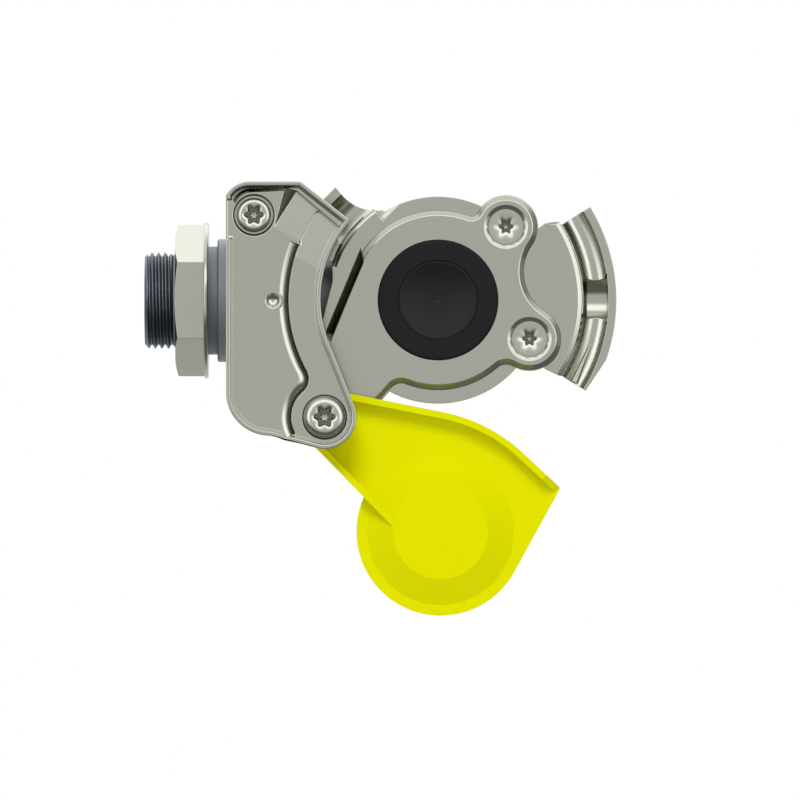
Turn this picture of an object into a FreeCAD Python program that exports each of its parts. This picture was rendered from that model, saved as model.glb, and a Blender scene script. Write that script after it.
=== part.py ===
"""Gladhand air brake coupler: housing with claw, guide flange, face seal, shut-off valve and dust cover.

Frame: the origin is the centre of the seal's mating face. +Z is up, the mating face looks towards -Y and the
port points towards -X. A level is a distance in front of the mating face, so it is -Y.
"""

import FreeCAD, Part

import math
import os

import Sketcher

os.makedirs("parts", exist_ok=True)

# Driving dimensions, in millimetres and degrees. A place is measured from the centre of the seal's face.
SIZES = {
    # Levels in front of the mating face
    "retainer_drop": 0.7,
    "retainer_thickness": 1.8,
    "flange_thickness": 7.5,
    "coupling_gap": 0.3,
    "claw_floor_thickness": 3.2,
    "claw_rim_height": 2.0,
    # Clearances
    "fit_gap": 0.05,
    "running_gap": 0.08,
    "free_gap": 0.3,
    # Face seal
    "seal_radius": 13.6,
    "seal_bore_radius": 9.0,
    "seal_flange_width": 2.4,
    "seal_flange_thickness": 2.4,
    "seal_depth": 7.5,
    "seal_edge_round": 0.5,
    "seal_lip_round": 0.15,
    "seal_back_taper": 0.8,
    # Housing
    "body_radius": 23.55,
    "body_face_depth": 9.5,
    "barrel_radius": 19.5,
    "barrel_length": 38.0,
    "shoulder_length": 4.0,
    "rear_chamfer": 1.0,
    "left_radius": 25.6,
    "left_start_angle": 125.0,
    "left_end_angle": 160.3,
    "left_edge_round": 1.5,
    "left_edge_overrun": 2.0,
    "band_height": 4.3,
    "band_reach": 24.0,
    "band_low_reach": 26.2,
    "band_low_height": -4.1,
    "arm_thickness": 7.0,
    "lug_tip_reach": 23.3,
    "lug_tip_height": 25.7,
    "lug_slant_angle": 225.0,
    "lug_side": 7.0,
    "lug_top_angle": -51.0,
    "lug_flat_width": 2.1,
    "lug_flat_length": 3.2,
    "upper_arm_inner_reach": 22.4,
    "upper_arm_inner_height": 13.0,
    "valley_depth": 4.2,
    "valley_radius": 10.6,
    "valley_end_reach": 12.5,
    "valley_end_height": 20.5,
    "slot_width": 1.8,
    "slot_overlap": 0.3,
    "slot_depth": 3.5,
    "slot_start": -1.3,
    "slot_end": 18.3,
    "slot_end_slant": 1.7,
    "slot_tip": 4.1,
    "arm_root_reach": 11.0,
    "arm_root_height": -20.8,
    # Guide flange on the right
    "flange_radius": 40.6,
    "flange_half_angle": 31.5,
    "flange_chamfer_angle": 19.6,
    "flange_chamfer_inset": 1.2,
    "flange_flat_radius": 31.5,
    "track_radius": 36.2,
    "track_half_width": 2.2,
    "track_depth": 4.3,
    "track_shoulder_round": 1.6,
    "neck_end_radius": 32.5,
    "track_round": 3.4,
    "track_sweep_angle": 70.0,
    "lead_start_angle": 16.6,
    "lead_start_height": 0.3,
    "lead_end_height": 0.95,
    "lead_margin": 0.3,
    "rim_wall_width": 0.4,
    "rim_drop": 0.9,
    "recess_half_height": 4.3,
    "recess_depth": 1.9,
    "recess_width": 4.6,
    "neck_top_reach": 24.4,
    "neck_top_height": 17.5,
    "neck_bottom_reach": 25.0,
    "neck_bottom_height": 16.0,
    # Bosses and their places
    "claw_boss_radius": 5.5,
    "claw_boss_depth": 12.0,
    "claw_screw_inset": 6.3,
    "claw_screw_height": 19.1,
    "pivot_reach": 25.7,
    "pivot_height": -26.6,
    "pivot_boss_radius": 6.8,
    "pivot_boss_depth": 14.0,
    "ear_boss_depth": 12.0,
    # Seal retainer plate
    "retainer_radius": 19.3,
    "retainer_slope": 1.2,
    "ear_radius": 6.1,
    "upper_ear_reach": 15.45,
    "upper_ear_height": 16.65,
    "lower_ear_reach": 20.8,
    "lower_ear_height": -8.84,
    "waist_radius": 10.8,
    "low_blend_radius": 3.0,
    "top_blend_radius": 1.5,
    "arm_eye_radius": 5.9,
    "arm_blend_angle": 249.1,
    "arm_blend_radius": 3.0,
    # Retainer screws
    "flat_head_radius": 4.1,
    "flat_head_edge": 0.4,
    "flat_head_chamfer": 0.85,
    "flat_screw_radius": 2.0,
    "flat_screw_length": 12.0,
    "flat_socket_radius": 1.7,
    "flat_socket_depth": 1.3,
    "star_waist": 0.72,
    # Claw plate
    "claw_reach": 48.0,
    "claw_top": 26.7,
    "claw_shoulder_height": 23.6,
    "claw_shoulder_run": 5.3,
    "claw_shoulder_radius": 6.1,
    "claw_top_end": 31.1,
    "claw_tip_inset": 6.4,
    "claw_tip_drop": 8.5,
    "claw_corner_round": 1.5,
    "claw_tip_round": 0.7,
    "claw_inner_radius": 26.6,
    "claw_inner_top_angle": 139.9,
    "claw_inner_low_angle": 206.2,
    "claw_pivot_radius": 7.2,
    "claw_heel_run": 10.0,
    "claw_heel_height": -30.8,
    "claw_heel_radius": 10.0,
    "claw_side_low": -21.6,
    "claw_rim_width": 1.45,
    "claw_rim_draft": 14.0,
    "claw_rim_start": 12.4,
    "claw_rim_end": 22.6,
    "claw_outside": 60.0,
    "claw_groove_gap": 8.6,
    "claw_groove_half_width": 1.4,
    "claw_groove_depth": 1.9,
    "claw_groove_shoulder": 2.9,
    "dimple_land_radius": 2.2,
    "claw_groove_start_angle": 158.5,
    "claw_groove_bend": 2.5,
    "claw_groove_pivot_radius": 8.9,
    "claw_groove_end_angle": 209.0,
    "dimple_reach": 37.4,
    "dimple_height": -0.3,
    "dimple_radius": 1.6,
    "dimple_depth": 0.9,
    "ramp_slope": 8.0,
    "ramp_block_side": 40.0,
    "ramp_step_gap": 7.5,
    "ramp_step_top_angle": 143.0,
    "ramp_step_low_angle": 162.4,
    "ramp_outer_low_angle": 157.4,
    "ramp_inner_low_angle": 165.3,
    "ramp_inner_top_angle": 143.6,
    "ramp_outer_fold_reach": 37.0,
    "ramp_outer_fold_height": 16.6,
    "ramp_outer_top_reach": 32.0,
    "ramp_outer_top_height": 24.6,
    "ramp_outer_fold_angle": 32.4,
    "ramp_inner_fold_reach": 31.5,
    "ramp_inner_fold_height": 9.4,
    "ramp_inner_fold_angle": 28.5,
    "wedge_slot_top_reach": 34.6,
    "wedge_slot_depth": 2.4,
    "crescent_width": 0.8,
    "crescent_inset": 0.12,
    "crescent_depth": 2.4,
    "crescent_end_reach": 34.6,
    # Claw screws, sleeve and spacer
    "claw_head_radius": 3.9,
    "claw_head_height": 2.3,
    "claw_screw_radius": 2.5,
    "claw_screw_length": 24.0,
    "claw_head_sink": 1.0,
    "claw_head_margin": 0.75,
    "claw_socket_radius": 2.3,
    "spacer_radius": 4.4,
    "pivot_head_radius": 4.6,
    "pivot_head_height": 2.7,
    "pivot_screw_radius": 3.0,
    "pivot_screw_length": 26.0,
    "pivot_head_sink": 0.6,
    "pivot_head_margin": 0.35,
    "pivot_socket_radius": 2.55,
    "head_edge": 0.6,
    "dome_socket_depth": 1.7,
    "bush_radius": 4.2,
    # Dust cover
    "cover_level": 0.5,
    "cover_thickness": 1.8,
    "cover_wall_height": 6.0,
    "cover_wall_width": 1.45,
    "cover_hub_radius": 6.35,
    "cover_centre_reach": 0.57,
    "cover_centre_height": -52.6,
    "cover_disc_radius": 19.1,
    "cover_dome_radius": 16.7,
    "cover_top_radius": 10.75,
    "cover_bend_reach": 11.6,
    "cover_bend_height": -27.6,
    "cover_bend_radius": 37.0,
    "cover_tab_reach": 27.8,
    "cover_tab_height": -42.7,
    "cover_tab_round": 0.6,
    "cover_arm_meet_angle": 155.8,
    "cover_low_wall_run": 9.4,
    "cover_wall_bevel": 3.8,
    "disc_spring_radius": 5.8,
    "disc_spring_thickness": 0.5,
    # Shut-off valve
    "plunger_head_gap": 0.08,
    "plunger_face_drop": 0.3,
    "plunger_dish_depth": 1.8,
    "plunger_dish_lip": 0.4,
    "plunger_flange_radius": 10.6,
    "plunger_flange_thickness": 2.4,
    "plunger_stem_radius": 4.0,
    "plunger_stem_end": 30.0,
    "stem_groove_depth": 2.2,
    "valve_travel": 4.0,
    "valve_bore_radius": 11.0,
    "o_ring_radius": 0.9,
    "stem_ring_radius": 0.6,
    "connector_ring_radius": 0.8,
    "connector_ring_place": 19.2,
    "valve_wire_radius": 0.7,
    "valve_coil_radius": 7.4,
    "valve_coils": 5.0,
    # Rear cap and its ring
    "cap_radius": 14.0,
    "cap_front": 26.0,
    "cap_length": 9.3,
    "cap_groove_middle": 30.5,
    "cap_boss_radius": 7.0,
    "cap_boss_length": 2.2,
    "retaining_ring_thickness": 1.4,
    "retaining_ring_width": 2.6,
    "retaining_ring_bite": 1.1,
    "retaining_ring_gap_angle": 32.0,
    # Port connector and what is on it
    "port_depth": 18.0,
    "port_boss_radius": 15.0,
    "port_boss_reach": 24.0,
    "thread_radius": 11.0,
    "thread_end": 66.9,
    "thread_chamfer": 0.8,
    "connector_bore_radius": 7.5,
    "connector_inner_end": 16.5,
    "spigot_radius": 11.4,
    "stub_neck_radius": 10.6,
    "stub_neck_lead": 0.4,
    "small_collar_radius": 12.35,
    "small_collar_length": 2.1,
    "large_collar_radius": 14.05,
    "large_collar_length": 4.3,
    "washer_radius": 17.8,
    "washer_thickness": 0.9,
    "washer_face": 52.4,
    "nut_across_flats": 30.0,
    "nut_thickness": 6.6,
    "nut_chamfer": 0.65,
    "port_passage_radius": 8.0,
    # Detent pin under the claw
    "detent_reach": 35.9,
    "detent_height": 0.2,
    "detent_radius": 3.2,
    "detent_stand": 5.6,
    "detent_shoulder_radius": 3.9,
    "detent_shoulder": 1.5,
    "detent_lip": 1.5,
    "detent_bore_radius": 2.2,
    "detent_bore_top": 3.0,
    "detent_plug_thickness": 1.5,
    "detent_boss_radius": 5.4,
    "web_inner_radius": 31.0,
    "web_outer_radius": 41.0,
    "web_top_angle": 150.0,
    "web_low_angle": 218.0,
    "web_thickness": 4.1,
    "detent_wire_radius": 0.35,
    "detent_coil_radius": 1.7,
    "detent_coils": 5.0,
    # Small edges
    "thread_lead": 0.5,
    "sleeve_edge": 0.3,
}

FULL_TURN = 360
QUARTER_TURN = 90
SIDES = 6
SIDE_TURN = 60
SPRING_STATIONS = 12
NEAR = 0.001

doc = FreeCAD.newDocument("gladhand_coupler")
sheet = doc.addObject("Spreadsheet::Sheet", "Sizes")
for row, (alias, number) in enumerate(SIZES.items(), 1):
    sheet.set(f"A{row}", alias)
    sheet.set(f"B{row}", str(number))
    sheet.setAlias(f"B{row}", alias)
doc.recompute()


class Size:
    """A number that carries the sheet formula it comes from, so that geometry and bindings agree."""

    def __init__(self, value, formula):
        self.value = value
        self.formula = formula

    def __add__(self, other):
        other = as_size(other)
        return Size(self.value + other.value, f"({self.formula} + {other.formula})")

    def __radd__(self, other):
        return as_size(other) + self

    def __sub__(self, other):
        other = as_size(other)
        return Size(self.value - other.value, f"({self.formula} - {other.formula})")

    def __rsub__(self, other):
        return as_size(other) - self

    def __mul__(self, other):
        other = as_size(other)
        return Size(self.value * other.value, f"({self.formula} * {other.formula})")

    def __rmul__(self, other):
        return as_size(other) * self

    def __truediv__(self, other):
        other = as_size(other)
        return Size(self.value / other.value, f"({self.formula} / {other.formula})")

    def __rtruediv__(self, other):
        return as_size(other) / self

    def __neg__(self):
        return Size(-self.value, f"(0 - {self.formula})")


def as_size(number):
    return number if isinstance(number, Size) else Size(float(number), f"{float(number)}")


def root(size):
    return Size(math.sqrt(size.value), f"sqrt({size.formula})")


def sine(angle):
    angle = as_size(angle)
    return Size(math.sin(math.radians(angle.value)), f"sin({angle.formula})")


def cosine(angle):
    angle = as_size(angle)
    return Size(math.cos(math.radians(angle.value)), f"cos({angle.formula})")


class Sheet:
    """Reads a cell of the sheet as a Size."""

    def __getattr__(self, alias):
        return Size(float(sheet.get(alias)), f"Sizes.{alias}")


S = Sheet()


# Plane geometry on pairs of sizes


def polar(radius, angle, centre=(0, 0)):
    """The point at an angle on a circle."""
    return (centre[0] + radius * cosine(angle), centre[1] + radius * sine(angle))


def touch_point(outside, centre, radius, side):
    """Where a line from a point outside a circle touches it, on the side given by +1 or -1."""
    dx = outside[0] - centre[0]
    dy = outside[1] - centre[1]
    square = dx * dx + dy * dy
    along = radius * radius / square
    across = side * radius * root(square - radius * radius) / square
    return (centre[0] + along * dx - across * dy, centre[1] + along * dy + across * dx)


def circles_meet(centre_a, radius_a, centre_b, radius_b, side):
    """Where two circles cross, on the left of the line from a to b for +1, on its right for -1."""
    dx = centre_b[0] - centre_a[0]
    dy = centre_b[1] - centre_a[1]
    square = dx * dx + dy * dy
    along = (square + radius_a * radius_a - radius_b * radius_b) / (2 * square)
    across = side * root(radius_a * radius_a / square - along * along)
    return (centre_a[0] + along * dx - across * dy, centre_a[1] + along * dy + across * dx)


def unit(start, end):
    dx = end[0] - start[0]
    dy = end[1] - start[1]
    length = root(dx * dx + dy * dy)
    return (dx / length, dy / length)


def round_corner(before, corner, after, radius):
    """The two path points that round a corner between two straight runs."""
    u = unit(before, corner)
    v = unit(corner, after)
    cross = u[0] * v[1] - u[1] * v[0]
    dot = u[0] * v[0] + u[1] * v[1]
    turn = 1 if cross.value > 0 else -1
    step = radius * turn * cross / (1 + dot)
    return [
        (corner[0] - step * u[0], corner[1] - step * u[1]),
        (corner[0] + step * v[0], corner[1] + step * v[1], radius, turn),
    ]


# Sketches and features

SKETCH_AXIS = {"upright": "V_Axis", "level": "H_Axis"}


def new_sketch(body, name, role, level):
    """A sketch on one of a body's origin planes, moved along its normal to a level."""
    sketch = body.newObject("Sketcher::SketchObject", name)
    plane = [item for item in body.Origin.OriginFeatures if item.Role == role][0]
    sketch.AttachmentSupport = [(plane, "")]
    sketch.MapMode = "FlatFace"
    sketch.setExpression("AttachmentOffset.Base.z", as_size(level).formula)
    return sketch


def bind(sketch, kind, size, *where):
    index = sketch.addConstraint(Sketcher.Constraint(kind, *where, as_size(size).value))
    sketch.setExpression(f"Constraints[{index}]", as_size(size).formula)


def arc_edge(start, end, radius, turn, centre=None):
    """An arc between two points, +1 for counterclockwise; without a centre it is the shorter one."""
    sx, sy = start[0].value, start[1].value
    ex, ey = end[0].value, end[1].value
    if centre is None:
        half = math.hypot(ex - sx, ey - sy) / 2
        rise = turn * math.sqrt(max(radius.value**2 - half**2, 0.0))
        cx = (sx + ex) / 2 - rise * (ey - sy) / (2 * half)
        cy = (sy + ey) / 2 + rise * (ex - sx) / (2 * half)
    else:
        cx, cy = as_size(centre[0]).value, as_size(centre[1]).value
    first = math.atan2(sy - cy, sx - cx)
    last = math.atan2(ey - cy, ex - cx)
    if turn < 0:
        first, last = last, first
    if last <= first:
        last += 2 * math.pi
    circle = Part.Circle(FreeCAD.Vector(cx, cy, 0), FreeCAD.Vector(0, 0, 1), radius.value)
    return Part.ArcOfCircle(circle, first, last)


def draw(sketch, path, closed=True):
    """Draws a path whose points are (x, y), or (x, y, radius, turn[, centre]) where an arc arrives."""
    path = [tuple([as_size(p[0]), as_size(p[1])] + list(p[2:])) for p in path]
    count = len(path)
    edges = []
    for i in range(count if closed else count - 1):
        start, end = path[i], path[(i + 1) % count]
        if len(end) > 2:
            radius = as_size(end[2])
            edge = arc_edge(start, end, radius, *end[3:])
            index = sketch.addGeometry(edge, False)
            ends = (1, 2) if end[3] > 0 else (2, 1)
            bind(sketch, "Radius", radius, index)
        else:
            a = FreeCAD.Vector(start[0].value, start[1].value, 0)
            b = FreeCAD.Vector(end[0].value, end[1].value, 0)
            index = sketch.addGeometry(Part.LineSegment(a, b), False)
            ends = (1, 2)
        edges.append((index, ends))
    for i, (index, ends) in enumerate(edges):
        bind(sketch, "DistanceX", path[i][0], -1, 1, index, ends[0])
        bind(sketch, "DistanceY", path[i][1], -1, 1, index, ends[0])
        if closed or i + 1 < len(edges):
            following, its_ends = edges[(i + 1) % len(edges)]
            sketch.addConstraint(Sketcher.Constraint("Coincident", index, ends[1], following, its_ends[0]))
    if not closed:
        index, ends = edges[-1]
        bind(sketch, "DistanceX", path[-1][0], -1, 1, index, ends[1])
        bind(sketch, "DistanceY", path[-1][1], -1, 1, index, ends[1])
    return sketch


def draw_circle(sketch, centre, radius):
    x, y, r = as_size(centre[0]), as_size(centre[1]), as_size(radius)
    circle = Part.Circle(FreeCAD.Vector(x.value, y.value, 0), FreeCAD.Vector(0, 0, 1), r.value)
    index = sketch.addGeometry(circle, False)
    bind(sketch, "Radius", r, index)
    bind(sketch, "DistanceX", x, -1, 1, index, 3)
    bind(sketch, "DistanceY", y, -1, 1, index, 3)
    return sketch


def front_sketch(body, name, level, path=None, circle=None):
    """A sketch seen from the front, at a level in front of the mating face."""
    sketch = new_sketch(body, name, "XZ_Plane", level)
    return draw_circle(sketch, *circle) if circle else draw(sketch, path)


def pad(body, name, back, front, path=None, circle=None):
    """Adds a shape seen from the front, between two levels."""
    sketch = front_sketch(body, name + "_sketch", back, path, circle)
    feature = body.newObject("PartDesign::Pad", name)
    feature.Profile = sketch
    feature.setExpression("Length", (as_size(front) - back).formula)
    doc.recompute()
    return feature


def pocket(body, name, front, back, path=None, circle=None):
    """Cuts a shape seen from the front, from one level back to another."""
    before = body.Shape.Volume
    sketch = front_sketch(body, name + "_sketch", front, path, circle)
    feature = body.newObject("PartDesign::Pocket", name)
    feature.Profile = sketch
    feature.setExpression("Length", (as_size(front) - back).formula)
    doc.recompute()
    check_cut(body, name, before)
    return feature


def check_cut(body, name, before):
    if not body.Shape.Volume < before:
        raise ValueError(f"{name} cuts nothing")


def turned(
    body, name, path, cut=False, along="upright", role="XY_Plane", level=0, angle=FULL_TURN, middle=None
):
    """Turns a half section about the sketch's upright or level axis; a part turn lies about its middle."""
    before = body.Shape.Volume if cut else 0
    sketch = draw(new_sketch(body, name + "_sketch", role, level), path)
    if middle is not None:
        back = FreeCAD.Rotation(FreeCAD.Vector(0, -1, 0), middle.value)
        sketch.AttachmentOffset = FreeCAD.Placement(FreeCAD.Vector(), back)
        sketch.setExpression("AttachmentOffset.Rotation.Angle", middle.formula)
    feature = body.newObject("PartDesign::Groove" if cut else "PartDesign::Revolution", name)
    feature.Profile = sketch
    feature.ReferenceAxis = (sketch, [SKETCH_AXIS[along]])
    if angle == FULL_TURN:
        feature.Angle = FULL_TURN
    else:
        feature.Midplane = True
        feature.setExpression("Angle", as_size(angle).formula)
    doc.recompute()
    if cut:
        check_cut(body, name, before)
    return feature


def new_body(name, reach=None, height=None, depth=None):
    """A body whose own axis stands at a reach along X, a height along Z and a depth along Y."""
    body = doc.addObject("PartDesign::Body", name)
    body.Label = name
    for axis, size in (("x", reach), ("y", depth), ("z", height)):
        if size is not None:
            body.setExpression(f"Placement.Base.{axis}", as_size(size).formula)
    NODES.append(body)
    return body


def star_path(radius, waist):
    """A six-lobed driver recess, drawn as a star of straight flanks."""
    points = []
    for lobe in range(SIDES):
        points.append(polar(radius, SIDE_TURN * lobe))
        points.append(polar(waist, SIDE_TURN * lobe + SIDE_TURN / 2))
    return points


NODES = []

# Levels and places that several pieces share
SEAL = 0
RETAINER = -S.retainer_drop
FACE = RETAINER - S.retainer_thickness
FLANGE_BACK = FACE - S.flange_thickness
CLAW_BACK = S.coupling_gap - FLANGE_BACK
CLAW_FLOOR = CLAW_BACK + S.claw_floor_thickness
CLAW_FRONT = CLAW_FLOOR + S.claw_rim_height
ARM_BACK = FACE - S.arm_thickness
PORT = -S.port_depth
DETENT_FRONT = -FACE - S.coupling_gap

PIVOT = (-S.pivot_reach, S.pivot_height)
CLAW_SCREW = (S.claw_screw_inset - S.claw_reach, S.claw_screw_height)
UPPER_EAR = (S.upper_ear_reach, S.upper_ear_height)
LOWER_EAR = (S.lower_ear_reach, S.lower_ear_height)
DETENT = (-S.detent_reach, S.detent_height)
LEFT_START = polar(S.left_radius, S.left_start_angle)
LEFT_END = polar(S.left_radius, S.left_end_angle)


def shifted(point, direction, length):
    return (point[0] + length * direction[0], point[1] + length * direction[1])


def left_of(direction):
    return (-direction[1], direction[0])


def common_tangent(centre_a, radius_a, centre_b, radius_b, side):
    """The outer tangent of two circles: its touch points, on the left of the line a-b for +1."""
    dx = centre_b[0] - centre_a[0]
    dy = centre_b[1] - centre_a[1]
    length = root(dx * dx + dy * dy)
    along = (radius_a - radius_b) / length
    across = side * root(1 - along * along)
    normal = ((along * dx - across * dy) / length, (along * dy + across * dx) / length)
    return shifted(centre_a, normal, radius_a), shifted(centre_b, normal, radius_b)


def between(centre_a, radius_a, centre_b, radius_b):
    """The point on circle a towards circle b's centre, where the two circles touch."""
    share = radius_a / (radius_a + radius_b)
    return (
        centre_a[0] + share * (centre_b[0] - centre_a[0]),
        centre_a[1] + share * (centre_b[1] - centre_a[1]),
    )


# Housing: a round valve body with a port boss, a left band and two arms behind the claw, and a guide flange


def slot_corners():
    """The drain slot along the straight left edge of the retainer plate."""
    base = S.retainer_radius + S.retainer_slope
    eye = S.arm_eye_radius + S.retainer_slope
    top, low = common_tangent((0, 0), base, PIVOT, eye, -1)
    down = unit(top, low)
    outward = (down[1], -down[0])
    outer = shifted(top, outward, S.slot_overlap)
    inner = shifted(outer, outward, -S.slot_width)
    return [
        shifted(outer, down, -S.slot_tip),
        shifted(outer, down, S.slot_end - S.slot_end_slant),
        shifted(inner, down, S.slot_end),
        shifted(inner, down, S.slot_start),
    ]


def make_housing():
    body = new_body("housing")
    face = -FACE
    shoulder = face + S.body_face_depth
    turned(body, "valve_barrel", [
        (0, face),
        (S.body_radius, face),
        (S.body_radius, shoulder),
        (S.barrel_radius, shoulder + S.shoulder_length),
        (S.barrel_radius, S.barrel_length - S.rear_chamfer),
        (S.barrel_radius - S.rear_chamfer, S.barrel_length),
        (0, S.barrel_length),
    ])
    turned(body, "port_boss", [
        (0, 0),
        (0, S.port_boss_radius),
        (S.rear_chamfer - S.port_boss_reach, S.port_boss_radius),
        (-S.port_boss_reach, S.port_boss_radius - S.rear_chamfer),
        (-S.port_boss_reach, 0),
    ], along="level", role="XZ_Plane", level=PORT)

    slant = polar(1, S.lug_slant_angle)
    lug_tip = (-S.lug_tip_reach, S.lug_tip_height)
    lug_low = shifted(lug_tip, slant, S.lug_side)
    lug_right = shifted(lug_tip, polar(1, S.lug_top_angle), S.lug_flat_width)
    lug_inner = shifted(lug_right, slant, S.lug_flat_length)
    arm_inner = (-S.upper_arm_inner_reach, S.upper_arm_inner_height)
    valley_end = (-S.valley_end_reach, S.valley_end_height)
    pad(body, "lug_web", ARM_BACK, FACE, [
        lug_right,
        (*valley_end, S.valley_radius, 1),
        (0, 0),
        LEFT_END,
        arm_inner,
        lug_inner,
    ])
    lug_valley(body, lug_right, slant)

    web = FACE - S.web_thickness
    pad(body, "detent_web", web, FACE, [
        polar(S.web_outer_radius, S.web_top_angle),
        (*polar(S.web_outer_radius, S.web_low_angle), S.web_outer_radius, 1),
        polar(S.web_inner_radius, S.web_low_angle),
        (*polar(S.web_inner_radius, S.web_top_angle), S.web_inner_radius, -1),
    ])

    band_top = (-S.band_reach, S.band_height)
    band_low = (-S.band_low_reach, S.band_low_height)
    arm_root = (-S.arm_root_reach, S.arm_root_height)
    pivot_left = touch_point(band_low, PIVOT, S.pivot_boss_radius, 1)
    pivot_right = touch_point(arm_root, PIVOT, S.pivot_boss_radius, -1)
    pad(body, "left_band", ARM_BACK, FACE, [
        (0, 0),
        LEFT_START,
        (*LEFT_END, S.left_radius, 1),
        band_top,
        band_low,
        pivot_left,
        (*pivot_right, S.pivot_boss_radius, 1, PIVOT),
        arm_root,
    ])
    edge_round = S.left_edge_round
    opening = S.left_end_angle + S.left_edge_overrun - S.left_start_angle
    middle = S.left_start_angle + opening / 2
    turned(body, "left_edge", [
        (S.left_radius - edge_round, face - edge_round),
        (S.left_radius - edge_round, face),
        (S.left_radius, face + edge_round, edge_round, 1),
        (S.left_radius + edge_round, face + edge_round),
        (S.left_radius + edge_round, face - edge_round),
    ], cut=True, angle=opening, middle=middle)

    boss_top = touch_point(lug_low, CLAW_SCREW, S.claw_boss_radius, 1)
    boss_low = touch_point(LEFT_END, CLAW_SCREW, S.claw_boss_radius, -1)
    pad(body, "upper_arm", ARM_BACK, FACE, [
        lug_tip,
        lug_low,
        boss_top,
        (*boss_low, S.claw_boss_radius, 1, CLAW_SCREW),
        LEFT_END,
        arm_inner,
        lug_inner,
        lug_right,
    ])
    pad(body, "detent_boss", web, DETENT_FRONT, circle=(DETENT, S.detent_boss_radius))
    pad(body, "pivot_boss", FACE - S.pivot_boss_depth, FACE, circle=(PIVOT, S.pivot_boss_radius))
    pad(body, "claw_boss", FACE - S.claw_boss_depth, FACE, circle=(CLAW_SCREW, S.claw_boss_radius))

    track_start = S.flange_flat_radius + S.track_shoulder_round
    chamfer_end = polar(S.flange_radius - S.flange_chamfer_inset, -S.flange_half_angle)
    pad(body, "guide_flange", FLANGE_BACK, FACE, [
        (0, 0),
        (S.neck_bottom_reach, -S.neck_bottom_height),
        polar(S.neck_end_radius, -S.flange_half_angle),
        chamfer_end,
        polar(S.flange_radius, -S.flange_chamfer_angle),
        (*polar(S.flange_radius, S.flange_half_angle), S.flange_radius, 1),
        polar(S.neck_end_radius, S.flange_half_angle),
        (S.neck_top_reach, S.neck_top_height),
    ])
    ear_boss = S.ear_radius + S.retainer_slope
    for name, ear in (("upper_ear_boss", UPPER_EAR), ("lower_ear_boss", LOWER_EAR)):
        pad(body, name, FACE - S.ear_boss_depth, FACE, circle=(ear, ear_boss))

    in_front = face - S.seal_depth
    side_depth = S.track_round - root(S.track_round * S.track_round - S.track_half_width * S.track_half_width)
    floor = face + S.track_depth - side_depth
    outside = S.flange_radius + S.track_shoulder_round
    turned(body, "guide_track", [
        (S.flange_flat_radius, in_front),
        (S.flange_flat_radius, face),
        (track_start, face + S.track_shoulder_round, S.track_shoulder_round, -1),
        (S.track_radius - S.track_half_width, floor),
        (S.track_radius + S.track_half_width, floor, S.track_round, -1),
        (S.track_radius + S.track_half_width + S.rim_wall_width, face + S.rim_drop),
        (outside, face + S.rim_drop),
        (outside, in_front),
    ], cut=True, angle=S.track_sweep_angle)
    lead_ridge(body, floor + side_depth)
    half = S.recess_half_height
    recess = (half * half + S.recess_depth * S.recess_depth) / (2 * S.recess_depth)
    near = (S.track_radius - S.recess_width / 2, S.detent_height)
    above = -(floor + side_depth) - S.recess_depth + recess
    lying_round(body, "detent_recess", "SubtractiveCylinder", near, above, (as_size(1), as_size(0)), {
        "Radius": recess,
        "Height": S.recess_width,
    })

    cap_back = S.cap_front + S.cap_length
    bore = S.cap_radius + S.fit_gap
    ring_bore = S.cap_radius + S.retaining_ring_bite + S.fit_gap
    ring_back = cap_back + S.retaining_ring_thickness + S.fit_gap
    seal_back = S.seal_depth + S.fit_gap
    flange_back = face + S.seal_flange_thickness + S.fit_gap
    turned(body, "valve_bore", [
        (0, in_front),
        (S.seal_radius + S.seal_flange_width + S.fit_gap, in_front),
        (S.seal_radius + S.seal_flange_width + S.fit_gap, flange_back),
        (S.seal_radius + S.fit_gap, flange_back),
        (S.seal_radius + S.fit_gap, seal_back),
        (S.valve_bore_radius, seal_back),
        (S.valve_bore_radius, S.cap_front - S.fit_gap),
        (bore, S.cap_front - S.fit_gap),
        (bore, cap_back),
        (ring_bore, cap_back),
        (ring_bore, ring_back),
        (bore, ring_back),
        (bore, S.barrel_length + S.rear_chamfer),
        (0, S.barrel_length + S.rear_chamfer),
    ], cut=True)
    socket_end = S.connector_inner_end - S.free_gap
    turned(body, "port_socket", [
        (0, 0),
        (0, S.port_passage_radius),
        (-socket_end, S.port_passage_radius),
        (-socket_end, S.spigot_radius + S.fit_gap),
        (-S.band_low_reach - S.slot_width, S.spigot_radius + S.fit_gap),
        (-S.band_low_reach - S.slot_width, 0),
    ], cut=True, along="level", role="XZ_Plane", level=PORT)
    pocket(body, "drain_slot", FACE, FACE - S.slot_depth, slot_corners())
    relief = flat_head_radius_at(S.retainer_thickness)
    for name, ear in (("upper_ear", UPPER_EAR), ("lower_ear", LOWER_EAR)):
        drill(body, name + "_hole", ear, FACE, FACE - S.ear_boss_depth, S.flat_screw_radius + S.fit_gap)
        drill(body, name + "_relief", ear, FACE, RETAINER - screw_neck_depth(), relief)
    drill(body, "pivot_hole", PIVOT, FACE, FACE - S.pivot_boss_depth, S.pivot_screw_radius + S.fit_gap)
    drill(body, "claw_hole", CLAW_SCREW, FACE, FACE - S.claw_boss_depth, S.claw_screw_radius + S.fit_gap)
    drill(body, "detent_nose_bore", DETENT, DETENT_FRONT, web, S.detent_radius + S.running_gap)
    shoulder_bore = S.detent_shoulder_radius + S.running_gap
    drill(body, "detent_bore", DETENT, DETENT_FRONT - S.detent_lip, web, shoulder_bore)
    return body


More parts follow.
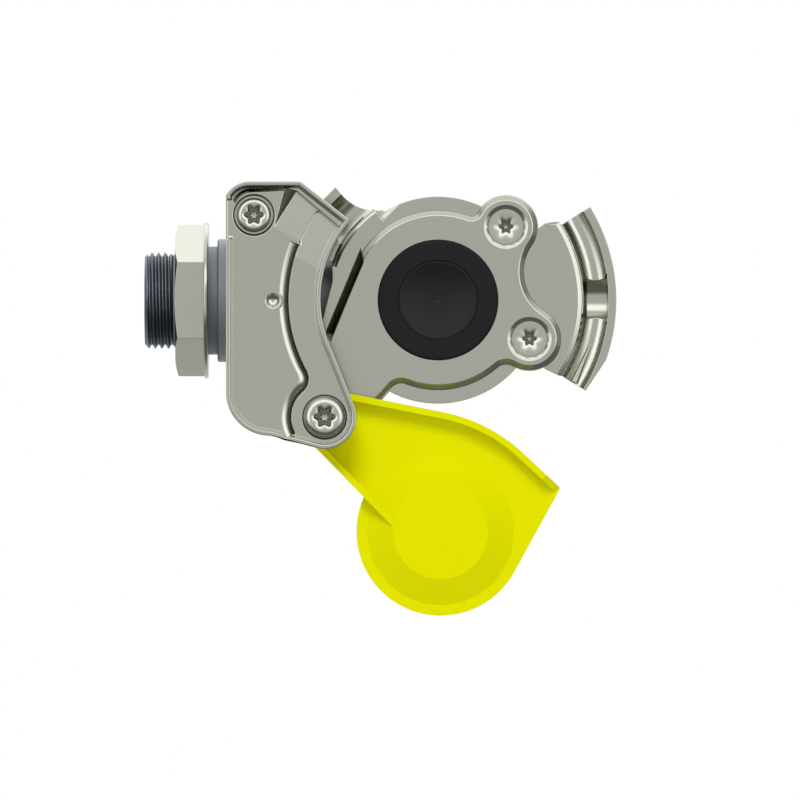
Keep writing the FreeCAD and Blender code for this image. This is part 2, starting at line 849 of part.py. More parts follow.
def lug_valley(body, edge, slant):
    """The round channel between the lug and the body, which follows the lug's slanted side."""
    before = body.Shape.Volume
    out = (slant[1], -slant[0])
    outer = edge[0] * out[0] + edge[1] * out[1]
    inner = LEFT_END[0] * out[0] + LEFT_END[1] * out[1] - S.left_edge_round
    half = (outer - inner) / 2
    radius = (half * half + S.valley_depth * S.valley_depth) / (2 * S.valley_depth)
    middle = shifted((as_size(0), as_size(0)), out, outer - half)
    start = shifted(middle, slant, -S.valley_radius)
    lying_round(body, "lug_valley", "SubtractiveCylinder", start, FACE - S.valley_depth + radius, slant, {
        "Radius": radius,
        "Height": 2 * S.valley_radius,
    })
    check_cut(body, "lug_valley", before)


def lead_ridge(body, bottom):
    """A half-round ridge that grows along the track's bottom towards its lower end and parts it in two."""
    start = polar(S.track_radius, -S.lead_start_angle)
    end = polar(S.track_radius, -S.flange_half_angle)
    run = 2 * S.track_radius * sine((S.flange_half_angle - S.lead_start_angle) / 2) - S.lead_margin
    lying_round(body, "lead_ridge", "AdditiveCone", start, -bottom, unit(start, end), {
        "Radius1": S.lead_start_height,
        "Radius2": S.lead_end_height,
        "Height": run,
    })


def lying_round(body, name, kind, start, level, direction, sizes):
    """A cylinder or cone whose axis lies at a level and starts at a place seen from the front."""
    feature = body.newObject("PartDesign::" + kind, name)
    feature.AttachmentSupport = [([f for f in body.Origin.OriginFeatures if f.Role == "XZ_Plane"][0], "")]
    feature.MapMode = "FlatFace"
    along = FreeCAD.Vector(direction[0].value, direction[1].value, 0)
    feature.AttachmentOffset = FreeCAD.Placement(
        FreeCAD.Vector(), FreeCAD.Rotation(FreeCAD.Vector(0, 0, 1), along)
    )
    for axis, size in (("x", start[0]), ("y", start[1]), ("z", level)):
        feature.setExpression(f"AttachmentOffset.Base.{axis}", size.formula)
    for key, size in sizes.items():
        feature.setExpression(key, size.formula)
    doc.recompute()


def drill(body, name, centre, front, back, radius):
    pocket(body, name, front, back, circle=(centre, radius))


def screw_neck_depth():
    """How far below the plate's face a flat screw's cone ends."""
    return S.flat_head_edge + S.flat_head_radius - S.flat_screw_radius + S.fit_gap


def flat_head_radius_at(depth):
    """The radius that clears a flat screw's cone at a depth below the plate's face."""
    return S.flat_head_edge + S.flat_head_radius - depth + S.fit_gap


# Seal retainer: a plate with two ears and an arm whose eye lies under the pivot bush


def make_seal_retainer():
    body = new_body("seal_retainer")
    ring = S.retainer_radius + S.retainer_slope
    ear = S.ear_radius + S.retainer_slope
    eye = S.arm_eye_radius + S.retainer_slope
    centre = (0, 0)
    ring_left, eye_left = common_tangent(centre, ring, PIVOT, eye, -1)
    arm_blend = polar(ring + S.arm_blend_radius, S.arm_blend_angle)
    eye_right, arm_start = common_tangent(PIVOT, eye, arm_blend, -S.arm_blend_radius, -1)
    low_blend = circles_meet(centre, ring + S.low_blend_radius, LOWER_EAR, ear + S.low_blend_radius, -1)
    waist = circles_meet(LOWER_EAR, ear + S.waist_radius, UPPER_EAR, ear + S.waist_radius, -1)
    top_blend = circles_meet(centre, ring + S.top_blend_radius, UPPER_EAR, ear + S.top_blend_radius, 1)
    back = RETAINER - S.retainer_thickness
    pad(body, "plate", back, RETAINER, [
        (*between(centre, ring, top_blend, S.top_blend_radius), S.top_blend_radius, -1, top_blend),
        (*ring_left, ring, 1, centre),
        eye_left,
        (*eye_right, eye, 1, PIVOT),
        arm_start,
        (*between(centre, ring, arm_blend, S.arm_blend_radius), S.arm_blend_radius, -1, arm_blend),
        (*between(centre, ring, low_blend, S.low_blend_radius), ring, 1, centre),
        (*between(LOWER_EAR, ear, low_blend, S.low_blend_radius), S.low_blend_radius, -1, low_blend),
        (*between(LOWER_EAR, ear, waist, S.waist_radius), ear, 1, LOWER_EAR),
        (*between(UPPER_EAR, ear, waist, S.waist_radius), S.waist_radius, -1, waist),
        (*between(UPPER_EAR, ear, top_blend, S.top_blend_radius), ear, 1, UPPER_EAR),
    ])
    bevel_edges(body, "sloped_edge", S.retainer_slope, lambda edge: is_front(edge, -RETAINER))
    pocket(body, "slot_side", RETAINER, back, slot_corners())
    pocket(body, "seal_opening", RETAINER, back, circle=(centre, S.seal_radius + S.fit_gap))
    drill(body, "pivot_eye", PIVOT, RETAINER, back, S.pivot_screw_radius + S.fit_gap)
    for name, place in (("upper", UPPER_EAR), ("lower", LOWER_EAR)):
        countersink(body, name + "_countersink", place)
    return body


def is_front(edge, y):
    """Tells an edge that lies wholly in the plane at a place along Y."""
    level = all(abs(vertex.Y - y.value) < NEAR for vertex in edge.Vertexes)
    return level and abs(edge.CenterOfMass.y - y.value) < NEAR


def bevel_edges(body, name, size, pick):
    """Bevels the edges of the tip's shape that a test picks."""
    base = body.Tip
    edges = [f"Edge{i}" for i, edge in enumerate(base.Shape.Edges, 1) if pick(edge)]
    if not edges:
        raise ValueError(f"{name} finds no edge")
    feature = body.newObject("PartDesign::Chamfer", name)
    feature.Base = (base, edges)
    feature.setExpression("Size", size.formula)
    doc.recompute()


def countersink(body, name, place):
    """A conical hole with a wider edge, cut round an axis away from the body's own."""
    before = body.Shape.Volume
    sketch = new_sketch(body, name + "_sketch", "XY_Plane", place[1])
    sketch.setExpression("AttachmentOffset.Base.x", place[0].formula)
    face = -RETAINER
    head = S.flat_head_radius + S.fit_gap
    back = face + S.retainer_thickness
    draw(sketch, [
        (0, face - S.flat_head_edge),
        (head + S.flat_head_chamfer, face - S.flat_head_edge),
        (head + S.flat_head_chamfer, face),
        (head, face + S.flat_head_edge),
        (flat_head_radius_at(S.retainer_thickness), back),
        (0, back),
    ])
    feature = body.newObject("PartDesign::Groove", name)
    feature.Profile = sketch
    feature.ReferenceAxis = (sketch, ["V_Axis"])
    feature.Angle = FULL_TURN
    doc.recompute()
    check_cut(body, name, before)


def make_flat_screw(name, place):
    body = new_body(name, reach=place[0], height=place[1], depth=-RETAINER)
    top = S.flat_head_edge
    neck = top + S.flat_head_radius - S.flat_screw_radius
    tip = S.thread_lead
    turned(body, "blank", [
        (0, top),
        (S.flat_head_radius, top),
        (S.flat_screw_radius, neck),
        (S.flat_screw_radius, S.flat_screw_length - tip),
        (S.flat_screw_radius - tip, S.flat_screw_length),
        (0, S.flat_screw_length),
    ])
    star = star_path(S.flat_socket_radius, S.flat_socket_radius * S.star_waist)
    pocket(body, "socket", -top, -top - S.flat_socket_depth, star)
    return body


def make_seal_ring():
    body = new_body("seal_ring")
    face = -FACE
    flange = S.seal_radius + S.seal_flange_width
    edge = S.seal_edge_round
    lip = S.seal_lip_round
    turned(body, "ring", [
        (S.seal_bore_radius, lip),
        (S.seal_bore_radius + lip, 0, lip, 1),
        (S.seal_radius - edge, 0),
        (S.seal_radius, edge, edge, 1),
        (S.seal_radius, face),
        (flange, face),
        (flange, face + S.seal_flange_thickness),
        (S.seal_radius, face + S.seal_flange_thickness),
        (S.seal_radius, S.seal_depth),
        (S.seal_bore_radius + S.seal_back_taper, S.seal_depth),
    ])
    return body


# Claw plate: a tray with a raised rim, a curved groove, two ramps, a dimple and two sunk screw places


def sketch_at(name, level, path=None, circle=None, closed=True):
    """A free sketch seen from the front at a level."""
    sketch = doc.addObject("Sketcher::SketchObject", name)
    sketch.Placement = FreeCAD.Placement(FreeCAD.Vector(), FreeCAD.Rotation(FreeCAD.Vector(1, 0, 0), 90))
    sketch.setExpression("Placement.Base.y", (-as_size(level)).formula)
    return draw_circle(sketch, *circle) if circle else draw(sketch, path, closed)


def extrude(name, profile, length):
    """Carries a flat profile forward by a length."""
    block = doc.addObject("Part::Extrusion", name)
    block.Base = profile
    block.DirMode = "Custom"
    block.Dir = FreeCAD.Vector(0, -1, 0)
    block.Solid = True
    block.setExpression("LengthFwd", as_size(length).formula)
    return block


def column(name, back, front, path=None, circle=None):
    return extrude(name, sketch_at(name + "_sketch", back, path, circle), as_size(front) - back)


def joined(kind, name, base, tool):
    feature = doc.addObject(kind, name)
    feature.Base = base
    feature.Tool = tool
    doc.recompute()
    return feature


def cut_away(name, base, tool):
    before = base.Shape.Volume
    result = joined("Part::Cut", name, base, tool)
    if not result.Shape.Volume < before:
        raise ValueError(f"{name} cuts nothing")
    return result


def claw_outline():
    top_end = (-S.claw_top_end, S.claw_top)
    tip = (S.claw_tip_inset - S.claw_inner_radius, S.claw_inner_radius - S.claw_tip_drop)
    shoulder = (S.claw_shoulder_run - S.claw_reach, S.claw_top)
    inner_top = polar(S.claw_inner_radius, S.claw_inner_top_angle)
    inner_low = polar(S.claw_inner_radius, S.claw_inner_low_angle)
    heel = (S.claw_heel_run - S.claw_reach, S.claw_heel_height)
    pivot_right = touch_point(inner_low, PIVOT, S.claw_pivot_radius, -1)
    pivot_low = touch_point(heel, PIVOT, S.claw_pivot_radius, 1)
    return [
        (-S.claw_reach, S.claw_side_low, S.claw_heel_radius, -1),
        (-S.claw_reach, S.claw_shoulder_height),
        (*shoulder, S.claw_shoulder_radius, -1),
        *round_corner(shoulder, top_end, tip, S.claw_corner_round),
        *round_corner(top_end, tip, inner_top, S.claw_tip_round),
        inner_top,
        (*inner_low, S.claw_inner_radius, 1),
        pivot_right,
        (*pivot_low, S.claw_pivot_radius, -1, PIVOT),
        heel,
    ]


def ramp_cutter(name, fold, fold_angle, region):
    """The space above a ramp: a region of the tray, cut off by a plane that falls away from the fold."""
    prism = column(name + "_region", CLAW_BACK, CLAW_FRONT + S.claw_rim_height, region)
    block = doc.addObject("Part::Box", name + "_block")
    side = S.ramp_block_side
    for key, size in (("Length", side), ("Width", side), ("Height", side)):
        block.setExpression(key, size.formula)
    half = side / 2
    tilt = FreeCAD.Rotation(FreeCAD.Vector(0, 1, 0), fold_angle.value)
    lean = FreeCAD.Rotation(FreeCAD.Vector(1, 0, 0), -S.ramp_slope.value)
    turn = tilt.multiply(lean)
    corner = turn.multVec(FreeCAD.Vector(-half.value, -side.value, 0))
    place = FreeCAD.Vector(fold[0].value, -CLAW_FLOOR.value, fold[1].value)
    block.Placement = FreeCAD.Placement(place.add(corner), turn)
    return joined("Part::Common", name, prism, block)


def make_claw_plate():
    claw = column("claw_slab", CLAW_BACK, CLAW_FRONT, claw_outline())
    doc.recompute()
    inner = doc.addObject("Part::Offset2D", "claw_inner_outline")
    inner.Source = sketch_at("claw_rim_sketch", CLAW_FLOOR, claw_outline())
    inner.setExpression("Value", (-S.claw_rim_width).formula)
    tray = extrude("claw_tray_space", inner, CLAW_FRONT - CLAW_FLOOR)
    tray.setExpression("TaperAngle", S.claw_rim_draft.formula)
    doc.recompute()
    claw = cut_away("claw_tray", claw, tray)

    rim_inner = -S.claw_reach + S.claw_rim_width
    notch = column("claw_rim_gap", CLAW_FLOOR, CLAW_FRONT, [
        (-S.claw_outside, S.claw_rim_start),
        (rim_inner, S.claw_rim_start + S.claw_rim_width),
        (rim_inner, S.claw_rim_end),
        (-S.claw_outside, S.claw_rim_end),
    ])
    claw = cut_away("claw_open_rim", claw, notch)

    holes = (
        ("upper", CLAW_SCREW, S.claw_screw_radius, S.claw_head_radius + S.claw_head_margin, S.claw_head_sink),
        ("pivot", PIVOT, S.pivot_screw_radius, S.pivot_head_radius + S.pivot_head_margin, S.pivot_head_sink),
    )
    for name, place, shank, head, sink in holes:
        bore = column(f"claw_{name}_bore", CLAW_BACK, CLAW_FRONT, circle=(place, shank + S.fit_gap))
        claw = cut_away(f"claw_{name}_bored", claw, bore)
        seat = column(f"claw_{name}_seat", CLAW_FLOOR - sink, CLAW_FRONT, circle=(place, head))
        claw = cut_away(f"claw_{name}_seated", claw, seat)

    inner_top = S.claw_top - S.claw_rim_width
    inset = S.crescent_inset
    width = S.crescent_width
    near = S.claw_shoulder_radius - S.claw_rim_width - inset
    shoulder = S.claw_shoulder_run - S.claw_reach
    crescent = column("claw_crescent", CLAW_FLOOR - S.crescent_depth, CLAW_FLOOR, [
        (rim_inner + inset, S.claw_rim_end - inset),
        (shoulder, inner_top - inset, near, -1),
        (-S.crescent_end_reach, inner_top - inset),
        (-S.crescent_end_reach, inner_top - inset - width / 2),
        (shoulder, inner_top - inset - width),
        (rim_inner + inset + width / 2, S.claw_rim_end - inset - width, near, 1),
    ])
    claw = cut_away("claw_crescent_cut", claw, crescent)

    outer_fold = (-S.ramp_outer_fold_reach, S.ramp_outer_fold_height)
    inner_fold = (-S.ramp_inner_fold_reach, S.ramp_inner_fold_height)
    step = S.claw_inner_radius + S.ramp_step_gap
    step_top = polar(step, S.ramp_step_top_angle)
    step_low = polar(step, S.ramp_step_low_angle)
    outer_top = (-S.ramp_outer_top_reach, S.ramp_outer_top_height)
    outer = ramp_cutter("ramp_outer", outer_fold, S.ramp_outer_fold_angle, [
        outer_fold,
        polar(step, S.ramp_outer_low_angle),
        (*step_top, step, -1),
        outer_top,
    ])
    inner_low = polar(S.claw_inner_radius + S.claw_rim_width, S.ramp_inner_low_angle)
    inner_high = polar(S.claw_inner_radius + S.claw_rim_width, S.ramp_inner_top_angle)
    inner_ramp = ramp_cutter("ramp_inner", inner_fold, S.ramp_inner_fold_angle, [
        inner_fold,
        inner_low,
        (*inner_high, S.claw_inner_radius + S.claw_rim_width, -1),
        step_top,
        (*step_low, step, 1),
    ])
    claw = cut_away("claw_outer_ramp", claw, outer)
    claw = cut_away("claw_inner_ramp", claw, inner_ramp)
    slot = column("claw_wedge_slot", CLAW_FLOOR - S.wedge_slot_depth, CLAW_FRONT, [
        outer_fold,
        outer_top,
        (-S.wedge_slot_top_reach, inner_top),
    ])
    claw = cut_away("claw_wedge_cut", claw, slot)
    claw = cut_away("claw_groove_cut", claw, make_groove_tool())
    dimple_place = (-S.dimple_reach, S.dimple_height)
    land = column("claw_dimple_land", CLAW_BACK, CLAW_FLOOR, circle=(dimple_place, S.dimple_land_radius))
    claw = joined("Part::Fuse", "claw_dimple_landed", claw, land)

    dimple = doc.addObject("Part::Sphere", "claw_dimple_ball")
    ball = (S.dimple_radius * S.dimple_radius + S.dimple_depth * S.dimple_depth) / (2 * S.dimple_depth)
    dimple.setExpression("Radius", ball.formula)
    dimple.setExpression("Placement.Base.x", (-S.dimple_reach).formula)
    dimple.setExpression("Placement.Base.y", (-(CLAW_FLOOR - S.dimple_depth + ball)).formula)
    dimple.setExpression("Placement.Base.z", S.dimple_height.formula)
    doc.recompute()
    claw = cut_away("claw_dimple", claw, dimple)
    claw.Label = "claw_plate"
    NODES.append(claw)
    return claw


def make_groove_tool():
    """A tool with a rounded shoulder and an upright side, swept along a track that curls round the pivot."""
    centre = (0, 0)
    main = S.claw_inner_radius + S.claw_groove_gap
    bend = S.claw_groove_bend
    curl = S.claw_groove_pivot_radius
    turn_centre = circles_meet(centre, main + bend, PIVOT, curl + bend, -1)
    end = polar(curl, S.claw_groove_end_angle, PIVOT)
    start = polar(main, S.claw_groove_start_angle)
    spine = sketch_at("claw_groove_spine", CLAW_FLOOR, closed=False, path=[
        start,
        (*between(centre, main, turn_centre, bend), main, 1, centre),
        (*between(PIVOT, curl, turn_centre, bend), bend, -1, turn_centre),
        (*end, curl, 1, PIVOT),
    ])
    doc.recompute()
    half = S.claw_groove_half_width
    depth = S.claw_groove_depth
    section = doc.addObject("Sketcher::SketchObject", "claw_groove_section")
    outward = FreeCAD.Vector(start[0].value, 0, start[1].value).normalize()
    forward = FreeCAD.Vector(0, -1, 0)
    turn = FreeCAD.Rotation(outward, forward, outward.cross(forward), "XYZ")
    section.Placement = FreeCAD.Placement(
        FreeCAD.Vector(start[0].value, -CLAW_FLOOR.value, start[1].value), turn
    )
    draw(section, [
        (-half, S.claw_rim_height),
        (-half, -depth),
        (half, 0, S.claw_groove_shoulder, -1),
        (half, S.claw_rim_height),
    ])
    doc.recompute()
    sweep = doc.addObject("Part::Sweep", "claw_groove_tool")
    sweep.Sections = [section]
    sweep.Spine = (spine, ["Edge1", "Edge2", "Edge3"])
    sweep.Solid = True
    sweep.Frenet = False
    doc.recompute()
    return sweep


# Screws, bush and spacer that carry the claw


def make_dome_screw(name, place, head, height, shank, length, sink, socket):
    """A dome-head screw: its head stands on the claw's sunk seat."""
    seat = CLAW_FLOOR - sink
    body = new_body(name, reach=place[0], height=place[1], depth=-seat)
    edge = S.head_edge
    crown = height - edge
    dome = (head * head + crown * crown) / (2 * crown)
    turned(body, "blank", [
        (0, length),
        (shank - S.thread_lead, length),
        (shank, length - S.thread_lead),
        (shank, 0),
        (head, 0),
        (head, -edge),
        (0, -height, dome, -1),
    ])
    star = star_path(socket, socket * S.star_waist)
    pocket(body, "socket", height, height - S.dome_socket_depth, star)
    return body


def make_sleeve(name, place, back, front, outer, inner, edge):
    body = new_body(name, reach=place[0], height=place[1])
    turned(body, "sleeve", [
        (inner, -back),
        (inner, -front),
        (outer - edge, -front),
        (outer, edge - front),
        (outer, -back - edge),
        (outer - edge, -back),
    ])
    return body


def make_disc_spring():
    """A coned spring washer between the retainer's eye and the cover's hub."""
    body = new_body("cover_disc_spring", reach=PIVOT[0], height=PIVOT[1])
    inner = S.bush_radius + S.running_gap
    low = -RETAINER
    high = -S.cover_level + S.running_gap
    turned(body, "cone", [
        (inner, high + S.disc_spring_thickness),
        (inner, high),
        (S.disc_spring_radius, low - S.disc_spring_thickness),
        (S.disc_spring_radius, low),
    ])
    return body


# Dust cover: a flat arm with rim walls, a raised round centre over the seal and a thumb tab


def is_wall_end(edge, front, width):
    """Tells the short front edge at the tab end of the cover's upper wall."""
    short = abs(edge.Length - width.value) < NEAR
    return is_front(edge, -front) and short and edge.CenterOfMass.x > S.cover_bend_reach.value


def make_dust_cover():
    body = new_body("dust_cover", reach=S.cover_centre_reach, height=S.cover_centre_height)
    hub = (PIVOT[0] - S.cover_centre_reach, PIVOT[1] - S.cover_centre_height)
    bend = (S.cover_bend_reach - S.cover_centre_reach, S.cover_bend_height - S.cover_centre_height)
    tab = (S.cover_tab_reach - S.cover_centre_reach, S.cover_tab_height - S.cover_centre_height)
    disc = (0, 0)
    hub_radius = S.cover_hub_radius
    wall = S.cover_wall_width
    hub_top = touch_point(bend, hub, hub_radius, 1)
    disc_right = touch_point(tab, disc, S.cover_disc_radius, -1)
    arm_end = polar(S.cover_disc_radius, S.cover_arm_meet_angle)
    hub_low = touch_point(arm_end, hub, hub_radius, -1)
    plate_front = S.cover_level + S.cover_thickness
    wall_front = S.cover_level + S.cover_wall_height
    pad(body, "plate", S.cover_level, plate_front, [
        (*hub_top, hub_radius, -1, hub),
        *round_corner(hub_top, bend, tab, S.cover_bend_radius),
        *round_corner(bend, tab, disc_right, S.cover_tab_round),
        disc_right,
        (*arm_end, S.cover_disc_radius, -1, disc),
        hub_low,
    ])
    first = unit(hub_top, bend)
    second = unit(bend, tab)
    n1 = (first[1], -first[0])
    n2 = (second[1], -second[0])
    share = wall / (1 + n1[0] * n2[0] + n1[1] * n2[1])
    inner_bend = (bend[0] + share * (n1[0] + n2[0]), bend[1] + share * (n1[1] + n2[1]))
    inner_hub = shifted(hub_top, n1, wall)
    outer_tab = shifted(tab, second, -S.cover_tab_round)
    inner_tab = shifted(outer_tab, n2, wall)
    bend_inner = round_corner(inner_hub, inner_bend, inner_tab, S.cover_bend_radius - wall)
    bend_outer = round_corner(hub_top, bend, outer_tab, S.cover_bend_radius)
    pad(body, "upper_wall", S.cover_level, wall_front, [
        hub_top,
        *bend_outer,
        outer_tab,
        inner_tab,
        bend_inner[1][:2],
        (*bend_inner[0], S.cover_bend_radius - wall, 1),
        inner_hub,
    ])
    bevel_edges(body, "wall_end_bevel", S.cover_wall_bevel, lambda edge: is_wall_end(edge, wall_front, wall))
    down = unit(hub_low, arm_end)
    inward = left_of(down)
    low_end = shifted(arm_end, down, S.cover_low_wall_run)
    pad(body, "lower_wall", S.cover_level, wall_front, [
        hub_low,
        low_end,
        shifted(low_end, inward, wall),
        shifted(hub_low, inward, wall),
    ])
    hub_front = CLAW_BACK - S.free_gap
    pad(body, "hub", S.cover_level, hub_front, circle=(hub, hub_radius))
    turned(body, "dome", [
        (0, -S.cover_level),
        (S.cover_dome_radius, -S.cover_level),
        (S.cover_dome_radius, -plate_front),
        (S.cover_top_radius, -wall_front),
        (0, -wall_front),
    ])
    inside = S.cover_thickness
    turned(body, "dome_hollow", [
        (0, inside - S.cover_level),
        (S.cover_dome_radius - inside, inside - S.cover_level),
        (S.cover_dome_radius - inside, -S.cover_level),
        (S.cover_top_radius - inside / 2, inside - wall_front),
        (0, inside - wall_front),
    ], cut=True)
    drill(body, "hub_bore", hub, hub_front, S.cover_level, S.bush_radius + S.running_gap)
    return body


# Shut-off valve in the bore


def make_valve_plunger():
    body = new_body("valve_plunger")
    head = S.seal_bore_radius - S.plunger_head_gap
    front = S.plunger_face_drop
    dish_edge = head - S.plunger_dish_lip
    dish = (dish_edge * dish_edge + S.plunger_dish_depth * S.plunger_dish_depth) / (2 * S.plunger_dish_depth)
    flange = S.seal_depth + S.running_gap
    stem = S.plunger_stem_radius
    back = flange + S.plunger_flange_thickness
    groove = S.cap_front + S.stem_groove_depth
    width = 2 * S.stem_ring_radius + S.fit_gap
    floor = stem - 2 * S.stem_ring_radius
    turned(body, "plunger", [
        (0, S.plunger_stem_end),
        (0, front + S.plunger_dish_depth),
        (dish_edge, front, dish, -1),
        (head, front),
        (head, flange),
        (S.plunger_flange_radius, flange),
        (S.plunger_flange_radius, back),
        (stem, back),
        (stem, groove),
        (floor, groove),
        (floor, groove + width),
        (stem, groove + width),
        (stem, S.plunger_stem_end - S.thread_lead),
        (stem - S.thread_lead, S.plunger_stem_end),
    ])
    return body


def make_o_ring(name, middle, centre_radius, wire, along="upright", role="XY_Plane", level=0, **place):
    """A round-section ring: the middle is its place along its axis."""
    body = new_body(name, **place)
    sketch = new_sketch(body, name + "_sketch", role, level)
    centre = (centre_radius, middle) if along == "upright" else (middle, centre_radius)
    draw_circle(sketch, centre, wire)
    feature = body.newObject("PartDesign::Revolution", name + "_ring")
    feature.Profile = sketch
    feature.ReferenceAxis = (sketch, [SKETCH_AXIS[along]])
    feature.Angle = FULL_TURN
    doc.recompute()
    return body


def make_rear_cap():
    body = new_body("rear_cap")
    front = S.cap_front
    back = front + S.cap_length
    groove_half = S.o_ring_radius + S.fit_gap
    floor = S.cap_radius - 2 * S.o_ring_radius
    guide = S.plunger_stem_radius + S.running_gap
    guide_end = S.plunger_stem_end + S.valve_travel + S.free_gap
    turned(body, "cap", [
        (guide, front),
        (S.cap_radius, front),
        (S.cap_radius, S.cap_groove_middle - groove_half),
        (floor, S.cap_groove_middle - groove_half),
        (floor, S.cap_groove_middle + groove_half),
        (S.cap_radius, S.cap_groove_middle + groove_half),
        (S.cap_radius, back),
        (S.cap_boss_radius, back),
        (S.cap_boss_radius, back + S.cap_boss_length),
        (0, back + S.cap_boss_length),
        (0, guide_end),
        (guide, guide_end),
    ])
    return body


def make_retaining_ring():
    """A split spring ring in the housing's rear groove, with its gap at the bottom."""
    body = new_body("retaining_ring")
    back = S.cap_front + S.cap_length
    outer = S.cap_radius + S.retaining_ring_bite
    inner = outer - S.retaining_ring_width
    front = -back
    rear = -back - S.retaining_ring_thickness
    half = S.retaining_ring_gap_angle / 2
    pad(body, "ring", rear, front, [
        polar(outer, half - QUARTER_TURN),
        (*polar(outer, -half - QUARTER_TURN), outer, 1, (0, 0)),
        polar(inner, -half - QUARTER_TURN),
        (*polar(inner, half - QUARTER_TURN), inner, -1, (0, 0)),
    ])
    return body


def coil_spring(name, coil, wire, coils, back, front, place=(0, 0)):
    """A wire coil along Y as a chain of straight-edged stations, with its ends cut square to the wire."""
    feature = doc.addObject("Part::Feature", name)
    count = int(round(coils.value * SPRING_STATIONS))
    first = -front.value + wire.value
    rise = (front - back).value - 2 * wire.value
    sections = []
    for station in range(count + 1):
        share = station / count
        around = 2 * math.pi * coils.value * share
        x, z = coil.value * math.cos(around), coil.value * math.sin(around)
        centre = FreeCAD.Vector(x, first + rise * share, z)
        radial = FreeCAD.Vector(math.cos(around), 0, math.sin(around))
        along = FreeCAD.Vector(0, 1, 0)
        ring = []
        for side in range(SIDES):
            angle = 2 * math.pi * side / SIDES
            across, up = wire.value * math.cos(angle), wire.value * math.sin(angle)
            ring.append(centre + radial * across + along * up)
        sections.append(Part.makePolygon(ring + [ring[0]]))
    feature.Shape = Part.makeLoft(sections, True, True)
    x, z = as_size(place[0]).value, as_size(place[1]).value
    feature.Placement = FreeCAD.Placement(FreeCAD.Vector(x, 0, z), FreeCAD.Rotation())
    feature.Label = name
    NODES.append(feature)
    return feature


# Detent pin that drops into the other coupler's recess, with its spring and plug


def make_detent_pin():
    body = new_body("detent_pin", reach=DETENT[0], height=DETENT[1], depth=-DETENT_FRONT)
    nose = S.detent_stand - S.detent_radius
    shoulder = S.detent_lip + S.fit_gap
    back = shoulder + S.detent_shoulder
    inside = back - S.detent_bore_top
    turned(body, "pin", [
        (0, inside - S.detent_bore_radius),
        (0, -S.detent_stand),
        (S.detent_radius, -nose, S.detent_radius, 1, (0, -nose)),
        (S.detent_radius, shoulder),
        (S.detent_shoulder_radius, shoulder),
        (S.detent_shoulder_radius, back),
        (S.detent_bore_radius, back),
        (S.detent_bore_radius, inside),
    ])
    return body


def make_detent_plug():
    body = new_body("detent_plug", reach=DETENT[0], height=DETENT[1])
    back = FACE - S.web_thickness
    radius = S.detent_shoulder_radius + S.running_gap - S.fit_gap
    pad(body, "plug", back, back + S.detent_plug_thickness, circle=((0, 0), radius))
    return body


# Threaded stub, nut and washer on the port's axis


def make_port_connector():
    body = new_body("port_connector", depth=S.port_depth)
    thread = S.thread_radius
    chamfer = S.thread_chamfer
    small_end = S.washer_face - S.small_collar_length
    large_end = small_end - S.large_collar_length
    ring = S.connector_ring_radius
    groove_out = S.connector_ring_place + ring + S.fit_gap
    groove_in = S.connector_ring_place - ring - S.fit_gap
    spigot = S.spigot_radius
    floor = spigot - 2 * ring
    neck = S.stub_neck_radius
    neck_end = S.washer_face + S.washer_thickness + S.nut_thickness + S.stub_neck_lead
    bore = S.connector_bore_radius
    turned(body, "stub", [
        (-S.thread_end, bore),
        (-S.thread_end, thread - chamfer),
        (chamfer - S.thread_end, thread),
        (-neck_end, thread),
        (-neck_end, neck),
        (-S.washer_face, neck),
        (-S.washer_face, S.small_collar_radius),
        (-small_end, S.small_collar_radius),
        (-small_end, S.large_collar_radius),
        (-large_end, S.large_collar_radius),
        (-large_end, spigot),
        (-groove_out, spigot),
        (-groove_out, floor),
        (-groove_in, floor),
        (-groove_in, spigot),
        (-S.connector_inner_end - chamfer, spigot),
        (-S.connector_inner_end, spigot - chamfer),
        (-S.connector_inner_end, bore),
    ], along="level", role="XZ_Plane")
    return body


def make_lock_washer():
    body = new_body("lock_washer", depth=S.port_depth)
    turned(body, "washer", [
        (-S.washer_face, S.stub_neck_radius + S.fit_gap),
        (-S.washer_face, S.washer_radius),
        (-S.washer_face - S.washer_thickness, S.washer_radius),
        (-S.washer_face - S.washer_thickness, S.stub_neck_radius + S.fit_gap),
    ], along="level", role="XZ_Plane")
    return body


def make_lock_nut():
    body = new_body("lock_nut", depth=S.port_depth)
    inner_face = -S.washer_face - S.washer_thickness
    outer_face = inner_face - S.nut_thickness
    half = S.nut_across_flats / 2
    corner = half / cosine(SIDE_TURN / 2)
    sketch = draw(new_sketch(body, "hexagon_sketch", "YZ_Plane", outer_face), [
        polar(corner, SIDE_TURN * side + SIDE_TURN / 2) for side in range(SIDES)
    ])
    feature = body.newObject("PartDesign::Pad", "hexagon")
    feature.Profile = sketch
    feature.setExpression("Length", S.nut_thickness.formula)
    doc.recompute()
    turned(body, "nut_bore", [
        (outer_face - S.nut_chamfer, 0),
        (outer_face - S.nut_chamfer, S.stub_neck_radius + S.fit_gap),
        (inner_face + S.nut_chamfer, S.stub_neck_radius + S.fit_gap),
        (inner_face + S.nut_chamfer, 0),
    ], cut=True, along="level", role="XZ_Plane")
    turned(body, "corner_chamfer", [
        (outer_face, half - S.fit_gap),
        (outer_face, corner + S.fit_gap),
        (outer_face + S.nut_chamfer, corner + S.fit_gap),
    ], cut=True, along="level", role="XZ_Plane")
    return body


# All pieces

